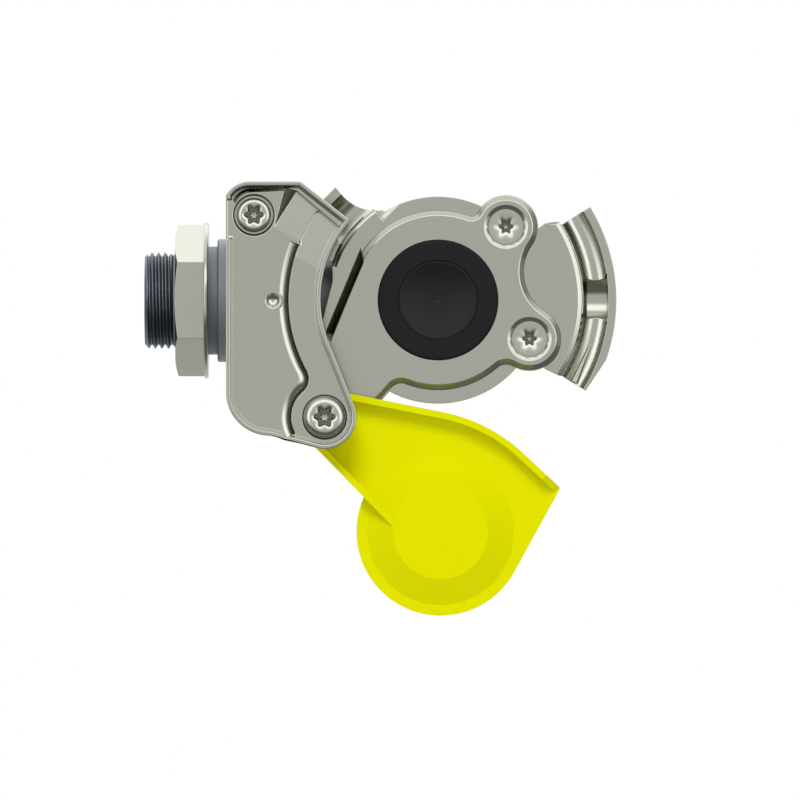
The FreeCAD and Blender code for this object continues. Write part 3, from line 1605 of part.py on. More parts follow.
make_housing()
make_seal_retainer()
make_flat_screw("retainer_screw_upper", UPPER_EAR)
make_flat_screw("retainer_screw_lower", LOWER_EAR)
make_seal_ring()
make_claw_plate()
make_dome_screw(
    "claw_screw", CLAW_SCREW, S.claw_head_radius, S.claw_head_height, S.claw_screw_radius,
    S.claw_screw_length, S.claw_head_sink, S.claw_socket_radius,
)
make_dome_screw(
    "pivot_screw", PIVOT, S.pivot_head_radius, S.pivot_head_height, S.pivot_screw_radius,
    S.pivot_screw_length, S.pivot_head_sink, S.pivot_socket_radius,
)
claw_screw_hole = S.claw_screw_radius + S.fit_gap
pivot_screw_hole = S.pivot_screw_radius + S.fit_gap
make_sleeve("claw_spacer", CLAW_SCREW, FACE, CLAW_BACK, S.spacer_radius, claw_screw_hole, S.sleeve_edge)
make_sleeve("pivot_bush", PIVOT, RETAINER, CLAW_BACK, S.bush_radius, pivot_screw_hole, S.sleeve_edge)
make_disc_spring()
make_dust_cover()
make_valve_plunger()
stem_ring = S.stem_ring_radius
make_o_ring(
    "plunger_o_ring", S.cap_front + S.stem_groove_depth + stem_ring + S.fit_gap / 2,
    S.plunger_stem_radius - stem_ring, stem_ring,
)
make_rear_cap()
make_o_ring("rear_cap_o_ring", S.cap_groove_middle, S.cap_radius - S.o_ring_radius, S.o_ring_radius)
make_retaining_ring()
coil_spring(
    "valve_spring", S.valve_coil_radius, S.valve_wire_radius, S.valve_coils, -S.cap_front + S.fit_gap,
    -S.seal_depth - S.running_gap - S.plunger_flange_thickness - S.fit_gap,
)
make_detent_pin()
make_detent_plug()
coil_spring(
    "detent_spring", S.detent_coil_radius, S.detent_wire_radius, S.detent_coils,
    FACE - S.web_thickness + S.detent_plug_thickness + S.fit_gap,
    DETENT_FRONT - S.detent_lip - S.detent_shoulder + S.detent_bore_top - 2 * S.fit_gap, DETENT,
)
make_port_connector()
make_o_ring(
    "connector_o_ring", -S.connector_ring_place, S.spigot_radius - S.connector_ring_radius,
    S.connector_ring_radius, along="level", role="XZ_Plane", depth=S.port_depth,
)
make_lock_washer()
make_lock_nut()

doc.recompute()
for item in doc.Objects:
    if "Invalid" in item.State or "Error" in item.State:
        raise ValueError(f"{item.Name} is {item.State}: {item.getStatusString()}")
for node in NODES:
    shape = node.Shape
    if shape.isNull() or not shape.isValid() or not shape.Solids:
        raise ValueError(f"{node.Label} has no valid solid")
    shape.exportStep(f"parts/{node.Label}.step")
    box = shape.BoundBox
    print(f"{node.Label}: {len(shape.Solids)} solid, {shape.Volume:.0f} mm3, {box}")
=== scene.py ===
"""Looks of a gladhand air brake coupler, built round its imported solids.

The frame is the solids' own, in metres. Its origin is the centre of the seal's mating face,
which looks towards -Y, and +Z is up.
"""

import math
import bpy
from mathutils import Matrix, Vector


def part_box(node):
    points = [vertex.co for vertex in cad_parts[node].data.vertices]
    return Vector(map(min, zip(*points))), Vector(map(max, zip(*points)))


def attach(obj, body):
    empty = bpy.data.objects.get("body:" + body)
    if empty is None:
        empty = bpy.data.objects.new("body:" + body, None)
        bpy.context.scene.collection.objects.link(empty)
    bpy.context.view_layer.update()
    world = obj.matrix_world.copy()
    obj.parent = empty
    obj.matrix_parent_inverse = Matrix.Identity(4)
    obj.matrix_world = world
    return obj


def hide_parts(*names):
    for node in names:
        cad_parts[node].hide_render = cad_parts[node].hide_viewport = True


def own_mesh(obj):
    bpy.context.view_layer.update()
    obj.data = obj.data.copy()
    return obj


bl_info = {
    "name": "Gladhand coupler",
    "version": (1, 0, 0),
    "blender": (4, 5, 0),
    "location": "View3D > Sidebar > Coupler",
    "description": "Castings, screws, threaded stub, seal and dust cover of an air brake coupler",
    "category": "Object",
}

import bmesh
import bpy
from bpy.props import FloatProperty, FloatVectorProperty, IntProperty, PointerProperty
from mathutils import Matrix, Vector

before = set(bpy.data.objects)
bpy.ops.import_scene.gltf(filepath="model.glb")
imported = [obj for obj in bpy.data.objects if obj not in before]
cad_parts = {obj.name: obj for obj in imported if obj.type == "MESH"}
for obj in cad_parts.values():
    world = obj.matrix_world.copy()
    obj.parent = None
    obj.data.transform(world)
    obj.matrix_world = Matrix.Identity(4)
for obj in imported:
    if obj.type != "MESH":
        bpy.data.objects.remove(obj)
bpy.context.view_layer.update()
MM = 0.001

# How close vertices of a solid, and of a spun shape, lie when they are one
SOLID_MERGE = 0.002 * MM
SPUN_MERGE = 0.003 * MM

# Creases that stay sharp in the light, in degrees, the shallow one only between faces of at least this area
SHARP_FOLD = 20.0
WIDE_FOLD = 5.0
WIDE_FACE = (3.0 * MM) ** 2

# Degrees: under which faces count as one, over which edges are rounded, and creases of spun shapes and wire
FLAT_ANGLE = 0.6
ROUNDED_FOLD = 28.0
SPUN_FOLD = 40.0
WIRE_FOLD = 50.0

# Room for a rounded edge: its share of a gap or turn, and what counts as across, as straight and as equal
GAP_SHARE = 0.45
TURN_SHARE = 0.4
SIDEWAYS = 0.7
STRAIGHT = math.radians(2.0)
SAME_RADIUS = 0.001 * MM

# How far a vertex may lie from the axis, arc, corner, depth, step or band that it belongs to
AXIS_LEEWAY = 0.01 * MM
ARC_LEEWAY = 0.03 * MM
CORNER_LEEWAY = 0.3 * MM
DEPTH_LEEWAY = 0.01 * MM
STEP_LEEWAY = 0.02 * MM
BAND_LEEWAY = 0.05 * MM

# The least depth that counts as a step
LEAST_STEP = 0.1 * MM

# The claw: its front and floor in Y, and the ramp step's radius and angles round the seal's axis
CLAW_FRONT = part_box("claw_plate")[0][1]
CLAW_FLOOR = CLAW_FRONT + 2.0 * MM
RAMP_STEP = 34.1 * MM
RAMP_STEP_ANGLES = (142.0, 163.0)

# The claw's wedge slot: its floor in Y, its left corners in X and Z, and the floor that they get
WEDGE_FLOOR = CLAW_FLOOR + 2.4 * MM
WEDGE_LEFT = ((-37.0 * MM, 16.6 * MM), (-34.6 * MM, 25.25 * MM))
WEDGE_LEFT_FLOOR = CLAW_FLOOR + 0.1 * MM

# The flange's shoulder: radii from the seal's axis and depths in Y
SHOULDER_START = 31.5 * MM
SHOULDER_EDGE = 31.85 * MM
SHOULDER_END = 32.8 * MM
SHOULDER_FLOOR = 32.95 * MM
SHOULDER_TOP = 2.5 * MM
SHOULDER_FOOT = 4.08 * MM

# The drain slot beside the retainer's arm: its floor in Y, its tilt, and its inner corners in X and Z
DRAIN_FLOOR = 6.0 * MM
DRAIN_TILT = 1.5 * MM
DRAIN_INNER = ((-17.02 * MM, 8.55 * MM), (-24.6 * MM, -9.52 * MM))

# Turning marks: how close the rings stand, and how strong and high they are in the light
RING_SPACING = 2600.0
RING_STRENGTH = 0.12
RING_RELIEF = 0.01 * MM

# The rounding that a casting's edges get in the light alone, as a share of their real rounding
SOFT_SHARE = 0.6

# The retainer's edge round the seal: the radius that holds it, and its rounding
SEAL_EDGE_REACH = 14.5 * MM
SEAL_EDGE_ROUND = 0.06 * MM

# Screws: the shanks' radii, and the cuts on the heads and shanks
CLAW_SHANK = 2.5 * MM
PIVOT_SHANK = 3.0 * MM
FLAT_SHANK = 2.0 * MM
HEAD_CUT = 0.12 * MM
HEAD_EDGE = 0.4 * MM
SHANK_CUT = 0.5 * MM

# Star sockets: lobes, steps round, and depths and widths, those without a unit as shares of the radius
LOBES = 6
STAR_STEPS = 96
STAR_DEPTH = 0.26
SOCKET_DEPTH = 1.3 * MM
SOCKET_LIP = 0.3 * MM
SOCKET_CONE = 1.5
SOCKET_FOOT = 0.92
SOCKET_MOUTH = 0.96

# Dome heads: the flat rim round the socket, and how much of the head's height the dome takes
CROWN_RIM = 0.35 * MM
DOME_RISE = 0.42
DOME_STEPS = 7

# The stub: radii, the large collar's ends in X, and the cuts on its edges
STUB_RADIUS = 11.0 * MM
STUB_BORE = 7.5 * MM
SPIGOT_RADIUS = 11.4 * MM
RING_FLOOR = 9.8 * MM
COLLAR_LEFT = -50.3 * MM
COLLAR_RIGHT = -46.0 * MM
COLLAR_RADIUS = 14.05 * MM
SMALL_COLLAR_RADIUS = 12.35 * MM
NECK_RADIUS = 10.6 * MM
BORE_CUT = 0.5 * MM
SPIGOT_CUT = 0.4 * MM
COLLAR_CUT = 0.35 * MM

# One turn of the thread, as shares of its pitch and height, and the spare turns that are cut off
THREAD_TURN = ((0.0, 0.0), (0.12, 0.0), (0.32, 0.5), (0.5, 1.0), (0.62, 1.0), (0.81, 0.5))
LEAD_TURNS = 1.5
SPARE_TURNS = 3

# Camera: the point it looks at, its distance and reach, the width of the picture there, and its sensor
PICTURE_CENTRE = Vector((-0.00864, 0.0, -0.02273))
CAMERA_DISTANCE = 3.0
CAMERA_REACH = 20.0
PICTURE_WIDTH = 0.1818
SENSOR_WIDTH = 36.0

# World: how bright the studio's parts are in gloss, and the soft light from behind and in front
PLAIN_WHITE = 1.0
DARK_LOW = 0.35
BRIGHT_BOX = 2.7
DIM_SIDE = 0.5
BRIGHT_TOP = 1.5
DARK_FLOOR = 0.25
PALE_REAR = 0.95
BRIGHT_REAR = 2.3
SOFT_REAR = 0.34
SOFT_FRONT = 0.73

# Stage: half its width, its front and back edges in Y, and the heights of floor and backdrop
STAGE_REACH = 0.9
STAGE_FRONT = -0.35
STAGE_BACK = 0.6
FLOOR_HEIGHT = -0.2
BACKDROP_HEIGHT = 0.15

# The floor's painted glow in gloss, a painted shadow under the part: how bright it is under the part and
# behind it, and how far the change takes
FLOOR_PAINTED_SHADOW = 0.22
FLOOR_BRIGHT = 0.95
FLOOR_FADE = 0.15


# Values that a user would change


def length(name, description, default):
    """A length that is given in millimetres."""
    return FloatProperty(
        name=name, description=description, default=default * MM, unit="LENGTH", precision=5
    )


def colour(name, description, default):
    """A colour for a finish."""
    return FloatVectorProperty(
        name=name, description=description, default=default, subtype="COLOR", size=3, min=0.0, max=1.0
    )


class CouplerSizes(bpy.types.PropertyGroup):
    """Roundings, heads, sockets and thread"""

    cast_round: length("Casting edges", "Radius of the castings' outer edges", 0.42)
    rim_round: length("Rim edges", "Radius of the inner edge on top of the claw's rim", 0.2)
    foot_round: length("Rim foot", "Radius of the hollow at the foot of the claw's rim", 0.8)
    step_width: length("Ramp step", "Width of the slope between the claw's two ramps", 0.75)
    shoulder_drop: length("Flange shoulder", "Drop of the sloped shoulder along the flange's track", 0.42)
    claw_head: length("Claw screw head", "Height of the claw screw's dome head", 2.3)
    claw_socket: length("Claw screw socket", "Radius of the claw screw's star socket", 2.3)
    pivot_head: length("Pivot screw head", "Height of the pivot screw's dome head", 2.7)
    pivot_socket: length("Pivot screw socket", "Radius of the pivot screw's star socket", 2.55)
    flat_socket: length("Flat screw socket", "Radius of the flat screws' star socket", 1.65)
    thin_round: length("Small edges", "Radius of the edges of screws, nut and small turned pieces", 0.22)
    cover_round: length("Cover edges", "Radius of the moulded cover's edges", 0.3)
    thread_pitch: length("Thread pitch", "Distance between two turns of the stub's thread", 1.5)
    thread_depth: length("Thread depth", "Height of the stub's thread", 0.92)
    thread_length: length("Thread length", "Length of the thread in front of the nut", 6.6)
    round_steps: IntProperty(
        name="Round steps", description="Segments in a rounded edge", default=3, min=1, max=6
    )
    turn_steps: IntProperty(
        name="Turn steps", description="Segments in a full turn", default=128, min=24, max=256
    )


class CouplerColours(bpy.types.PropertyGroup):
    """Base colours of the finishes"""

    casting: colour("Castings", "Plated casting of the housing, claw and retainer", (0.36, 0.37, 0.32))
    plated: colour("Screws and nut", "Zinc plated steel", (0.37, 0.375, 0.33))
    stub: colour("Stub", "Blue-grey steel of the threaded stub", (0.13, 0.15, 0.17))
    collar: colour("Collars", "Blue-grey steel of the stub's collars", (0.262, 0.293, 0.313))
    spring: colour("Springs", "Spring steel", (0.22, 0.22, 0.22))
    bronze: colour("Bush", "Bearing bronze of the pivot bush", (0.5, 0.34, 0.15))
    rubber: colour("Rubber", "Seal rubber", (0.009, 0.010, 0.011))
    plunger: colour("Plunger", "Moulded valve plunger", (0.010, 0.010, 0.010))
    cover: colour("Dust cover", "Moulded dust cover", (0.76, 0.76, 0.0))
    floor: colour("Stage", "Floor and backdrop", (0.85, 0.85, 0.85))


# Shader groups that several finishes share


def add_socket(group, name, kind, way, default=None):
    """Adds a named input or output to a shader group."""
    socket = group.interface.new_socket(name=name, in_out=way, socket_type=kind)
    if default is not None:
        socket.default_value = default


def grain_group():
    """Cast or moulded grain: a colour factor that wanders round 1, a roughness shift and a height."""
    group = bpy.data.node_groups.get("surface_grain")
    if group:
        return group
    group = bpy.data.node_groups.new("surface_grain", "ShaderNodeTree")
    add_socket(group, "Grain size", "NodeSocketFloat", "INPUT", 900.0)
    add_socket(group, "Patch size", "NodeSocketFloat", "INPUT", 60.0)
    add_socket(group, "Patch strength", "NodeSocketFloat", "INPUT", 0.06)
    add_socket(group, "Roughness", "NodeSocketFloat", "INPUT", 0.4)
    add_socket(group, "Tone", "NodeSocketFloat", "OUTPUT")
    add_socket(group, "Roughness", "NodeSocketFloat", "OUTPUT")
    add_socket(group, "Height", "NodeSocketFloat", "OUTPUT")
    nodes, links = group.nodes, group.links
    source = nodes.new("NodeGroupInput")
    result = nodes.new("NodeGroupOutput")
    place = nodes.new("ShaderNodeTexCoord")
    fine = nodes.new("ShaderNodeTexNoise")
    fine.inputs["Detail"].default_value = 3.0
    patch = nodes.new("ShaderNodeTexNoise")
    patch.inputs["Detail"].default_value = 2.0
    links.new(place.outputs["Object"], fine.inputs["Vector"])
    links.new(place.outputs["Object"], patch.inputs["Vector"])
    links.new(source.outputs["Grain size"], fine.inputs["Scale"])
    links.new(source.outputs["Patch size"], patch.inputs["Scale"])
    centred = math_node(group, "SUBTRACT", patch.outputs["Fac"], 0.5)
    swing = math_node(group, "MULTIPLY", centred, source.outputs["Patch strength"])
    tone = math_node(group, "ADD", swing, 1.0)
    rough_swing = math_node(group, "MULTIPLY", swing, 0.6)
    rough = math_node(group, "ADD", rough_swing, source.outputs["Roughness"])
    links.new(tone, result.inputs["Tone"])
    links.new(rough, result.inputs["Roughness"])
    links.new(fine.outputs["Fac"], result.inputs["Height"])
    return group


def turning_group():
    """Fine rings left by turning, round an axis that the mapping in the material lays along X."""
    group = bpy.data.node_groups.get("turning_marks")
    if group:
        return group
    group = bpy.data.node_groups.new("turning_marks", "ShaderNodeTree")
    add_socket(group, "Vector", "NodeSocketVector", "INPUT")
    add_socket(group, "Spacing", "NodeSocketFloat", "INPUT", RING_SPACING)
    add_socket(group, "Tone", "NodeSocketFloat", "OUTPUT")
    add_socket(group, "Height", "NodeSocketFloat", "OUTPUT")
    nodes, links = group.nodes, group.links
    source = nodes.new("NodeGroupInput")
    result = nodes.new("NodeGroupOutput")
    rings = nodes.new("ShaderNodeTexWave")
    rings.wave_type = "BANDS"
    rings.bands_direction = "X"
    rings.inputs["Distortion"].default_value = 1.5
    rings.inputs["Detail"].default_value = 2.0
    links.new(source.outputs["Vector"], rings.inputs["Vector"])
    links.new(source.outputs["Spacing"], rings.inputs["Scale"])
    swing = math_node(group, "MULTIPLY", rings.outputs["Fac"], 0.06)
    tone = math_node(group, "ADD", swing, 0.97)
    links.new(tone, result.inputs["Tone"])
    links.new(rings.outputs["Fac"], result.inputs["Height"])
    return group


def smooth_step(tree, value, low, high, start=0.0, end=1.0):
    """Goes smoothly from start to end while the value goes from low to high."""
    node = tree.nodes.new("ShaderNodeMapRange")
    node.interpolation_type = "SMOOTHSTEP"
    for name, number in (("From Min", low), ("From Max", high), ("To Min", start), ("To Max", end)):
        node.inputs[name].default_value = number
    tree.links.new(value, node.inputs["Value"])
    return node.outputs["Result"]


def feed(tree, sockets, values):
    """Sets each socket to its number, or links it to its output."""
    for socket, value in zip(sockets, values):
        if isinstance(value, (int, float)):
            socket.default_value = value
        else:
            tree.links.new(value, socket)


def blended(tree, share, first, second):
    """Goes from first to second with the share."""
    node = tree.nodes.new("ShaderNodeMix")
    node.data_type = "FLOAT"
    feed(tree, [node.inputs[name] for name in ("Factor", "A", "B")], (share, first, second))
    return node.outputs["Result"]


def math_node(tree, operation, first, second):
    """One operation on two numbers or outputs."""
    node = tree.nodes.new("ShaderNodeMath")
    node.operation = operation
    feed(tree, node.inputs, (first, second))
    return node.outputs[0]


# Finishes


def tinted(tree, base, tone):
    """The base colour, lighter or darker by a factor."""
    node = tree.nodes.new("ShaderNodeMix")
    node.data_type = "RGBA"
    node.blend_type = "MULTIPLY"
    node.inputs["Factor"].default_value = 1.0
    node.inputs["A"].default_value = (*base, 1.0)
    tree.links.new(tone, node.inputs["B"])
    return node.outputs["Result"]


def finish(
    name, base, roughness, metallic=0.0, grain=900.0, patch=60.0, strength=0.06, bump=0.1, relief=0.02,
    **plain,
):
    """A finish with grain: base colour and roughness wander a little and a fine bump breaks the gloss."""
    material = bpy.data.materials.get(name)
    if material:
        return material
    material = bpy.data.materials.new(name)
    material.use_nodes = True
    tree = material.node_tree
    shader = tree.nodes["Principled BSDF"]
    shader.inputs["Metallic"].default_value = metallic
    for socket, value in plain.items():
        shader.inputs[socket.replace("_", " ")].default_value = value
    group = tree.nodes.new("ShaderNodeGroup")
    group.node_tree = grain_group()
    group.inputs["Grain size"].default_value = grain
    group.inputs["Patch size"].default_value = patch
    group.inputs["Patch strength"].default_value = strength
    group.inputs["Roughness"].default_value = roughness
    tree.links.new(tinted(tree, base, group.outputs["Tone"]), shader.inputs["Base Color"])
    tree.links.new(group.outputs["Roughness"], shader.inputs["Roughness"])
    height = tree.nodes.new("ShaderNodeBump")
    height.inputs["Strength"].default_value = bump
    height.inputs["Distance"].default_value = relief * MM
    tree.links.new(group.outputs["Height"], height.inputs["Height"])
    tree.links.new(height.outputs["Normal"], shader.inputs["Normal"])
    return material


def turned_finish(name, base, roughness, metallic, along):
    """A turned finish: fine rings round the axis that a piece was turned on."""
    material = bpy.data.materials.get(name)
    if material:
        return material
    material = finish(name, base, roughness, metallic, grain=600.0, strength=0.05, bump=0.05)
    tree = material.node_tree
    shader = tree.nodes["Principled BSDF"]
    place = tree.nodes.new("ShaderNodeTexCoord")
    mapping = tree.nodes.new("ShaderNodeMapping")
    mapping.inputs["Rotation"].default_value = (0.0, 0.0, math.radians(90.0) if along == "Y" else 0.0)
    tree.links.new(place.outputs["Object"], mapping.inputs["Vector"])
    group = tree.nodes.new("ShaderNodeGroup")
    group.node_tree = turning_group()
    group.inputs["Spacing"].default_value = RING_SPACING
    tree.links.new(mapping.outputs["Vector"], group.inputs["Vector"])
    height = tree.nodes.new("ShaderNodeBump")
    height.inputs["Strength"].default_value = RING_STRENGTH
    height.inputs["Distance"].default_value = RING_RELIEF
    tree.links.new(group.outputs["Height"], height.inputs["Height"])
    tree.links.new(height.outputs["Normal"], shader.inputs["Normal"])
    return material


def soften_edges(material, radius):
    """Rounds the light on every edge and hollow of a finish."""
    tree = material.node_tree
    if tree.nodes.get("Bevel"):
        return material
    edge = tree.nodes.new("ShaderNodeBevel")
    edge.samples = 8
    edge.inputs["Radius"].default_value = radius
    tree.links.new(edge.outputs["Normal"], tree.nodes["Bump"].inputs["Normal"])
    return material


def casting_finish():
    """Plated casting, bright and nearly even."""
    material = finish(
        "plated_casting", bpy.context.scene.coupler_colours.casting,
        roughness=0.19, metallic=1.0, grain=1400.0, strength=0.04, bump=0.01, relief=0.01,
    )
    return soften_edges(material, SOFT_SHARE * bpy.context.scene.coupler_sizes.cast_round)


def plated_finish():
    """Zinc plate on screws, nut and washers."""
    return finish(
        "zinc_plate", bpy.context.scene.coupler_colours.plated,
        roughness=0.22, metallic=1.0, grain=1800.0, bump=0.03,
    )


def stub_finish():
    """Dark blue-grey turned steel."""
    return turned_finish(
        "stub_steel", bpy.context.scene.coupler_colours.stub, roughness=0.45, metallic=1.0, along="X"
    )


def collar_finish():
    """Paler and duller turned steel."""
    return turned_finish(
        "collar_steel", bpy.context.scene.coupler_colours.collar, roughness=0.6, metallic=0.6, along="X"
    )


def spring_finish():
    """Spring steel."""
    return turned_finish(
        "spring_steel", bpy.context.scene.coupler_colours.spring, roughness=0.35, metallic=0.9, along="Y"
    )


def bronze_finish():
    """Bearing bronze."""
    return turned_finish(
        "bush_bronze", bpy.context.scene.coupler_colours.bronze, roughness=0.35, metallic=0.9, along="Y"
    )


def rubber_finish():
    """Matt black rubber."""
    return finish(
        "seal_rubber", bpy.context.scene.coupler_colours.rubber,
        roughness=0.6, grain=2200.0, strength=0.2, Specular_IOR_Level=0.12,
    )


def plunger_finish():
    """Black moulding, a little glossier than the seal."""
    return finish(
        "plunger_moulding", bpy.context.scene.coupler_colours.plunger,
        roughness=0.45, grain=1500.0, Specular_IOR_Level=0.15,
    )


def cover_finish():
    """Yellow moulding."""
    return finish(
        "cover_moulding", bpy.context.scene.coupler_colours.cover,
        roughness=0.42, grain=1600.0, patch=35.0, strength=0.03, bump=0.08, Specular_IOR_Level=0.02,
    )


# Meshes


def new_piece(name, mesh, body, material, slot, *nodes):
    """Links a mesh as a piece that rides on a body and stands for solids."""
    piece = bpy.data.objects.new(name, mesh)
    bpy.context.scene.collection.objects.link(piece)
    mesh.materials.clear()
    mesh.materials.append(material)
    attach(piece, body)
    if nodes:
        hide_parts(*nodes)
    return piece


def is_fold(line):
    """A sharp crease between any two faces, or a shallow one between two wide flat faces."""
    if len(line.link_faces) != 2:
        return True
    angle = math.degrees(line.calc_face_angle(0.0))
    wide = min(face.calc_area() for face in line.link_faces) > WIDE_FACE
    return angle > SHARP_FOLD or (wide and angle > WIDE_FOLD)


def is_smooth(line, limit):
    """Tells whether an edge joins two faces that meet at less than an angle in degrees."""
    return len(line.link_faces) == 2 and math.degrees(line.calc_face_angle(0.0)) < limit


def loose_copy(node):
    """A merged bmesh of a solid, with its flat faces in one piece."""
    shape = bmesh.new()
    shape.from_mesh(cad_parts[node].data)
    bmesh.ops.remove_doubles(shape, verts=shape.verts, dist=SOLID_MERGE)
    bmesh.ops.dissolve_limit(
        shape, angle_limit=math.radians(FLAT_ANGLE), use_dissolve_boundaries=False,
        verts=shape.verts, edges=shape.edges,
    )
    return shape


def edge_runs(radii):
    """Groups sharp edges into runs that go on through vertices with two such edges."""
    runs, seen = [], set()
    for first in radii:
        if first in seen:
            continue
        seen.add(first)
        run, queue = [], [first]
        while queue:
            line = queue.pop()
            run.append(line)
            for vert in line.verts:
                ways = [other for other in vert.link_edges if other in radii]
                for other in ways if len(ways) == 2 else ():
                    if other not in seen and abs(radii[other] - radii[first]) < SAME_RADIUS:
                        seen.add(other)
                        queue.append(other)
        runs.append(run)
    return runs


def room_across(line, radii):
    """How far an edge can be rounded before it meets the sharp edges across its faces."""
    first, last = (vert.co for vert in line.verts)
    along = (last - first).normalized()
    room = radii[line]
    for face in line.link_faces:
        for other in face.edges:
            if other not in radii or set(other.verts) & set(line.verts):
                continue
            away = (other.verts[0].co + other.verts[1].co - first - last) / 2
            run = abs(away.dot(along))
            gap = (away - along * away.dot(along)).length
            if gap > SIDEWAYS * run:
                room = min(room, GAP_SHARE * gap)
    return room


def room_along(line, radii):
    """How far an edge can be rounded before it turns too tightly or fills a corner."""
    along = line.verts[1].co - line.verts[0].co
    room = radii[line]
    for vert in line.verts:
        ways = [other for other in vert.link_edges if other in radii and other is not line]
        if len(ways) == 1:
            turn = along.angle(ways[0].verts[1].co - ways[0].verts[0].co)
            turn = min(turn, math.pi - turn)
            if turn > STRAIGHT:
                room = min(room, TURN_SHARE * (line.calc_length() + ways[0].calc_length()) / turn)
        elif ways:
            room = min(room, GAP_SHARE * min(other.calc_length() for other in (*ways, line)))
    return room


def finished_mesh(shape, name):
    """Smooths the faces of a shape and stores it as a mesh."""
    for face in shape.faces:
        face.smooth = True
    mesh = bpy.data.meshes.new(name)
    shape.to_mesh(mesh)
    shape.free()
    return mesh


def weigh_edges(shape, radius, rule, clamp):
    """Writes each sharp edge's share of the widest radius as its bevel weight, and gives that radius."""
    weight = shape.edges.layers.float.new("bevel_weight_edge")
    radii = {}
    for line in shape.edges:
        line.smooth = not is_fold(line)
        if len(line.link_faces) == 2 and math.degrees(line.calc_face_angle(0.0)) > ROUNDED_FOLD:
            radii[line] = (rule and rule(line)) or radius
    widest = max(radii.values())
    for run in edge_runs(radii):
        own = widest
        if not clamp:
            own = min(min(room_across(line, radii), room_along(line, radii)) for line in run)
        for line in run:
            line[weight] = own / widest
    return widest


def rounded_copy(node, name, body, material, slot, radius, rule=None, form=None, clamp=True):
    """A copy of a solid with its sharp edges rounded, which stands for it.

    A rule may give an edge its own radius, and a form changes the copy first. With clamp the modifier
    limits the rounding to the room that it finds, and without it each run of edges gets its own radius.
    """
    shape = loose_copy(node)
    if form:
        form(shape)
        bmesh.ops.remove_doubles(shape, verts=shape.verts, dist=SOLID_MERGE)
    widest = weigh_edges(shape, radius, rule, clamp)
    piece = new_piece(name, finished_mesh(shape, name), body, material, slot, node)
    edge = piece.modifiers.new("rounded_edges", "BEVEL")
    edge.width = widest
    edge.segments = bpy.context.scene.coupler_sizes.round_steps
    edge.limit_method = "WEIGHT"
    edge.use_clamp_overlap = clamp
    edge.miter_outer = "MITER_SHARP"
    level = piece.modifiers.new("level_faces", "WEIGHTED_NORMAL")
    level.keep_sharp = True
    level.weight = 100


def on_arc(vert, radius, low_angle, high_angle):
    """Tells whether a vertex lies at a radius round the seal's axis, between two angles in degrees."""
    angle = math.degrees(math.atan2(vert.co.z, vert.co.x)) % 360.0
    return abs(math.hypot(vert.co.x, vert.co.z) - radius) < ARC_LEEWAY and low_angle <= angle <= high_angle


def near(vert, corners):
    """Tells whether a vertex stands at one of some corners, given in X and Z."""
    return any(math.hypot(vert.co.x - x, vert.co.z - z) < CORNER_LEEWAY for x, z in corners)


def at_depth(vert, depth):
    """Tells whether a vertex lies at a depth in Y."""
    return abs(vert.co.y - depth) < DEPTH_LEEWAY


def move_out(vert, distance):
    """Moves a vertex away from the seal's axis."""
    factor = 1.0 + distance / math.hypot(vert.co.x, vert.co.z)
    vert.co.x *= factor
    vert.co.z *= factor


def stands_behind(vert, other):
    """Tells whether a vertex lies straight behind another, across a step."""
    run = vert.co - other.co
    return run.length > LEAST_STEP and max(abs(run.x), abs(run.z)) < STEP_LEEWAY and run.y > 0.0


def slope_claw(shape):
    """Slopes the step between the claw's ramps, and the floor of its wedge slot."""
    step = [vert for vert in shape.verts if on_arc(vert, RAMP_STEP, *RAMP_STEP_ANGLES)]
    for vert in step:
        if any(stands_behind(vert, other) for other in step):
            move_out(vert, -bpy.context.scene.coupler_sizes.step_width)
    for vert in shape.verts:
        if at_depth(vert, WEDGE_FLOOR) and near(vert, WEDGE_LEFT):
            vert.co.y = WEDGE_LEFT_FLOOR


def claw_edge(line):
    """The hollow at the foot of the claw's rim is wide, the inner edge on top of the rim is narrow."""
    sizes = bpy.context.scene.coupler_sizes
    if all(at_depth(vert, CLAW_FLOOR) for vert in line.verts) and not line.is_convex:
        return sizes.foot_round
    return sizes.rim_round if all(at_depth(vert, CLAW_FRONT) for vert in line.verts) else None


def retainer_edge(line):
    """The edge that holds the seal stays narrow."""
    middle = (line.verts[0].co + line.verts[1].co) / 2
    return SEAL_EDGE_ROUND if math.hypot(middle.x, middle.z) < SEAL_EDGE_REACH else None


def slope_shoulder(shape):
    """Draws the flange's hollow shoulder out to a slope between the flat and the track's wall."""
    drop = bpy.context.scene.coupler_sizes.shoulder_drop
    for vert in shape.verts:
        radius = math.hypot(vert.co.x, vert.co.z)
        if vert.co.x < 0.0 or not SHOULDER_START - BAND_LEEWAY < radius < SHOULDER_FLOOR:
            continue
        if abs(vert.co.y - SHOULDER_TOP) < BAND_LEEWAY and radius < SHOULDER_START + BAND_LEEWAY:
            move_out(vert, SHOULDER_EDGE - radius)
        elif SHOULDER_TOP + LEAST_STEP < vert.co.y < SHOULDER_FOOT:
            move_out(vert, SHOULDER_END - radius)
            vert.co.y = SHOULDER_TOP + drop


def slope_housing(shape):
    """Slopes the flange's shoulder, and tilts the floor of the drain slot so that it lies in the dark."""
    slope_shoulder(shape)
    for vert in shape.verts:
        if at_depth(vert, DRAIN_FLOOR) and near(vert, DRAIN_INNER):
            vert.co.y -= DRAIN_TILT


def spin_profile(shape, points, place, along, steps):
    """Spins a profile of (along, radius) pairs a full turn round an axis through a place."""
    side = Vector((0.0, 0.0, 1.0))
    ring = [shape.verts.new(place + along * run + side * radius) for run, radius in points]
    lines = [shape.edges.new(pair) for pair in zip(ring, ring[1:])]
    bmesh.ops.spin(
        shape, geom=ring + lines, cent=place, axis=along, angle=2 * math.pi, steps=steps, use_merge=True
    )


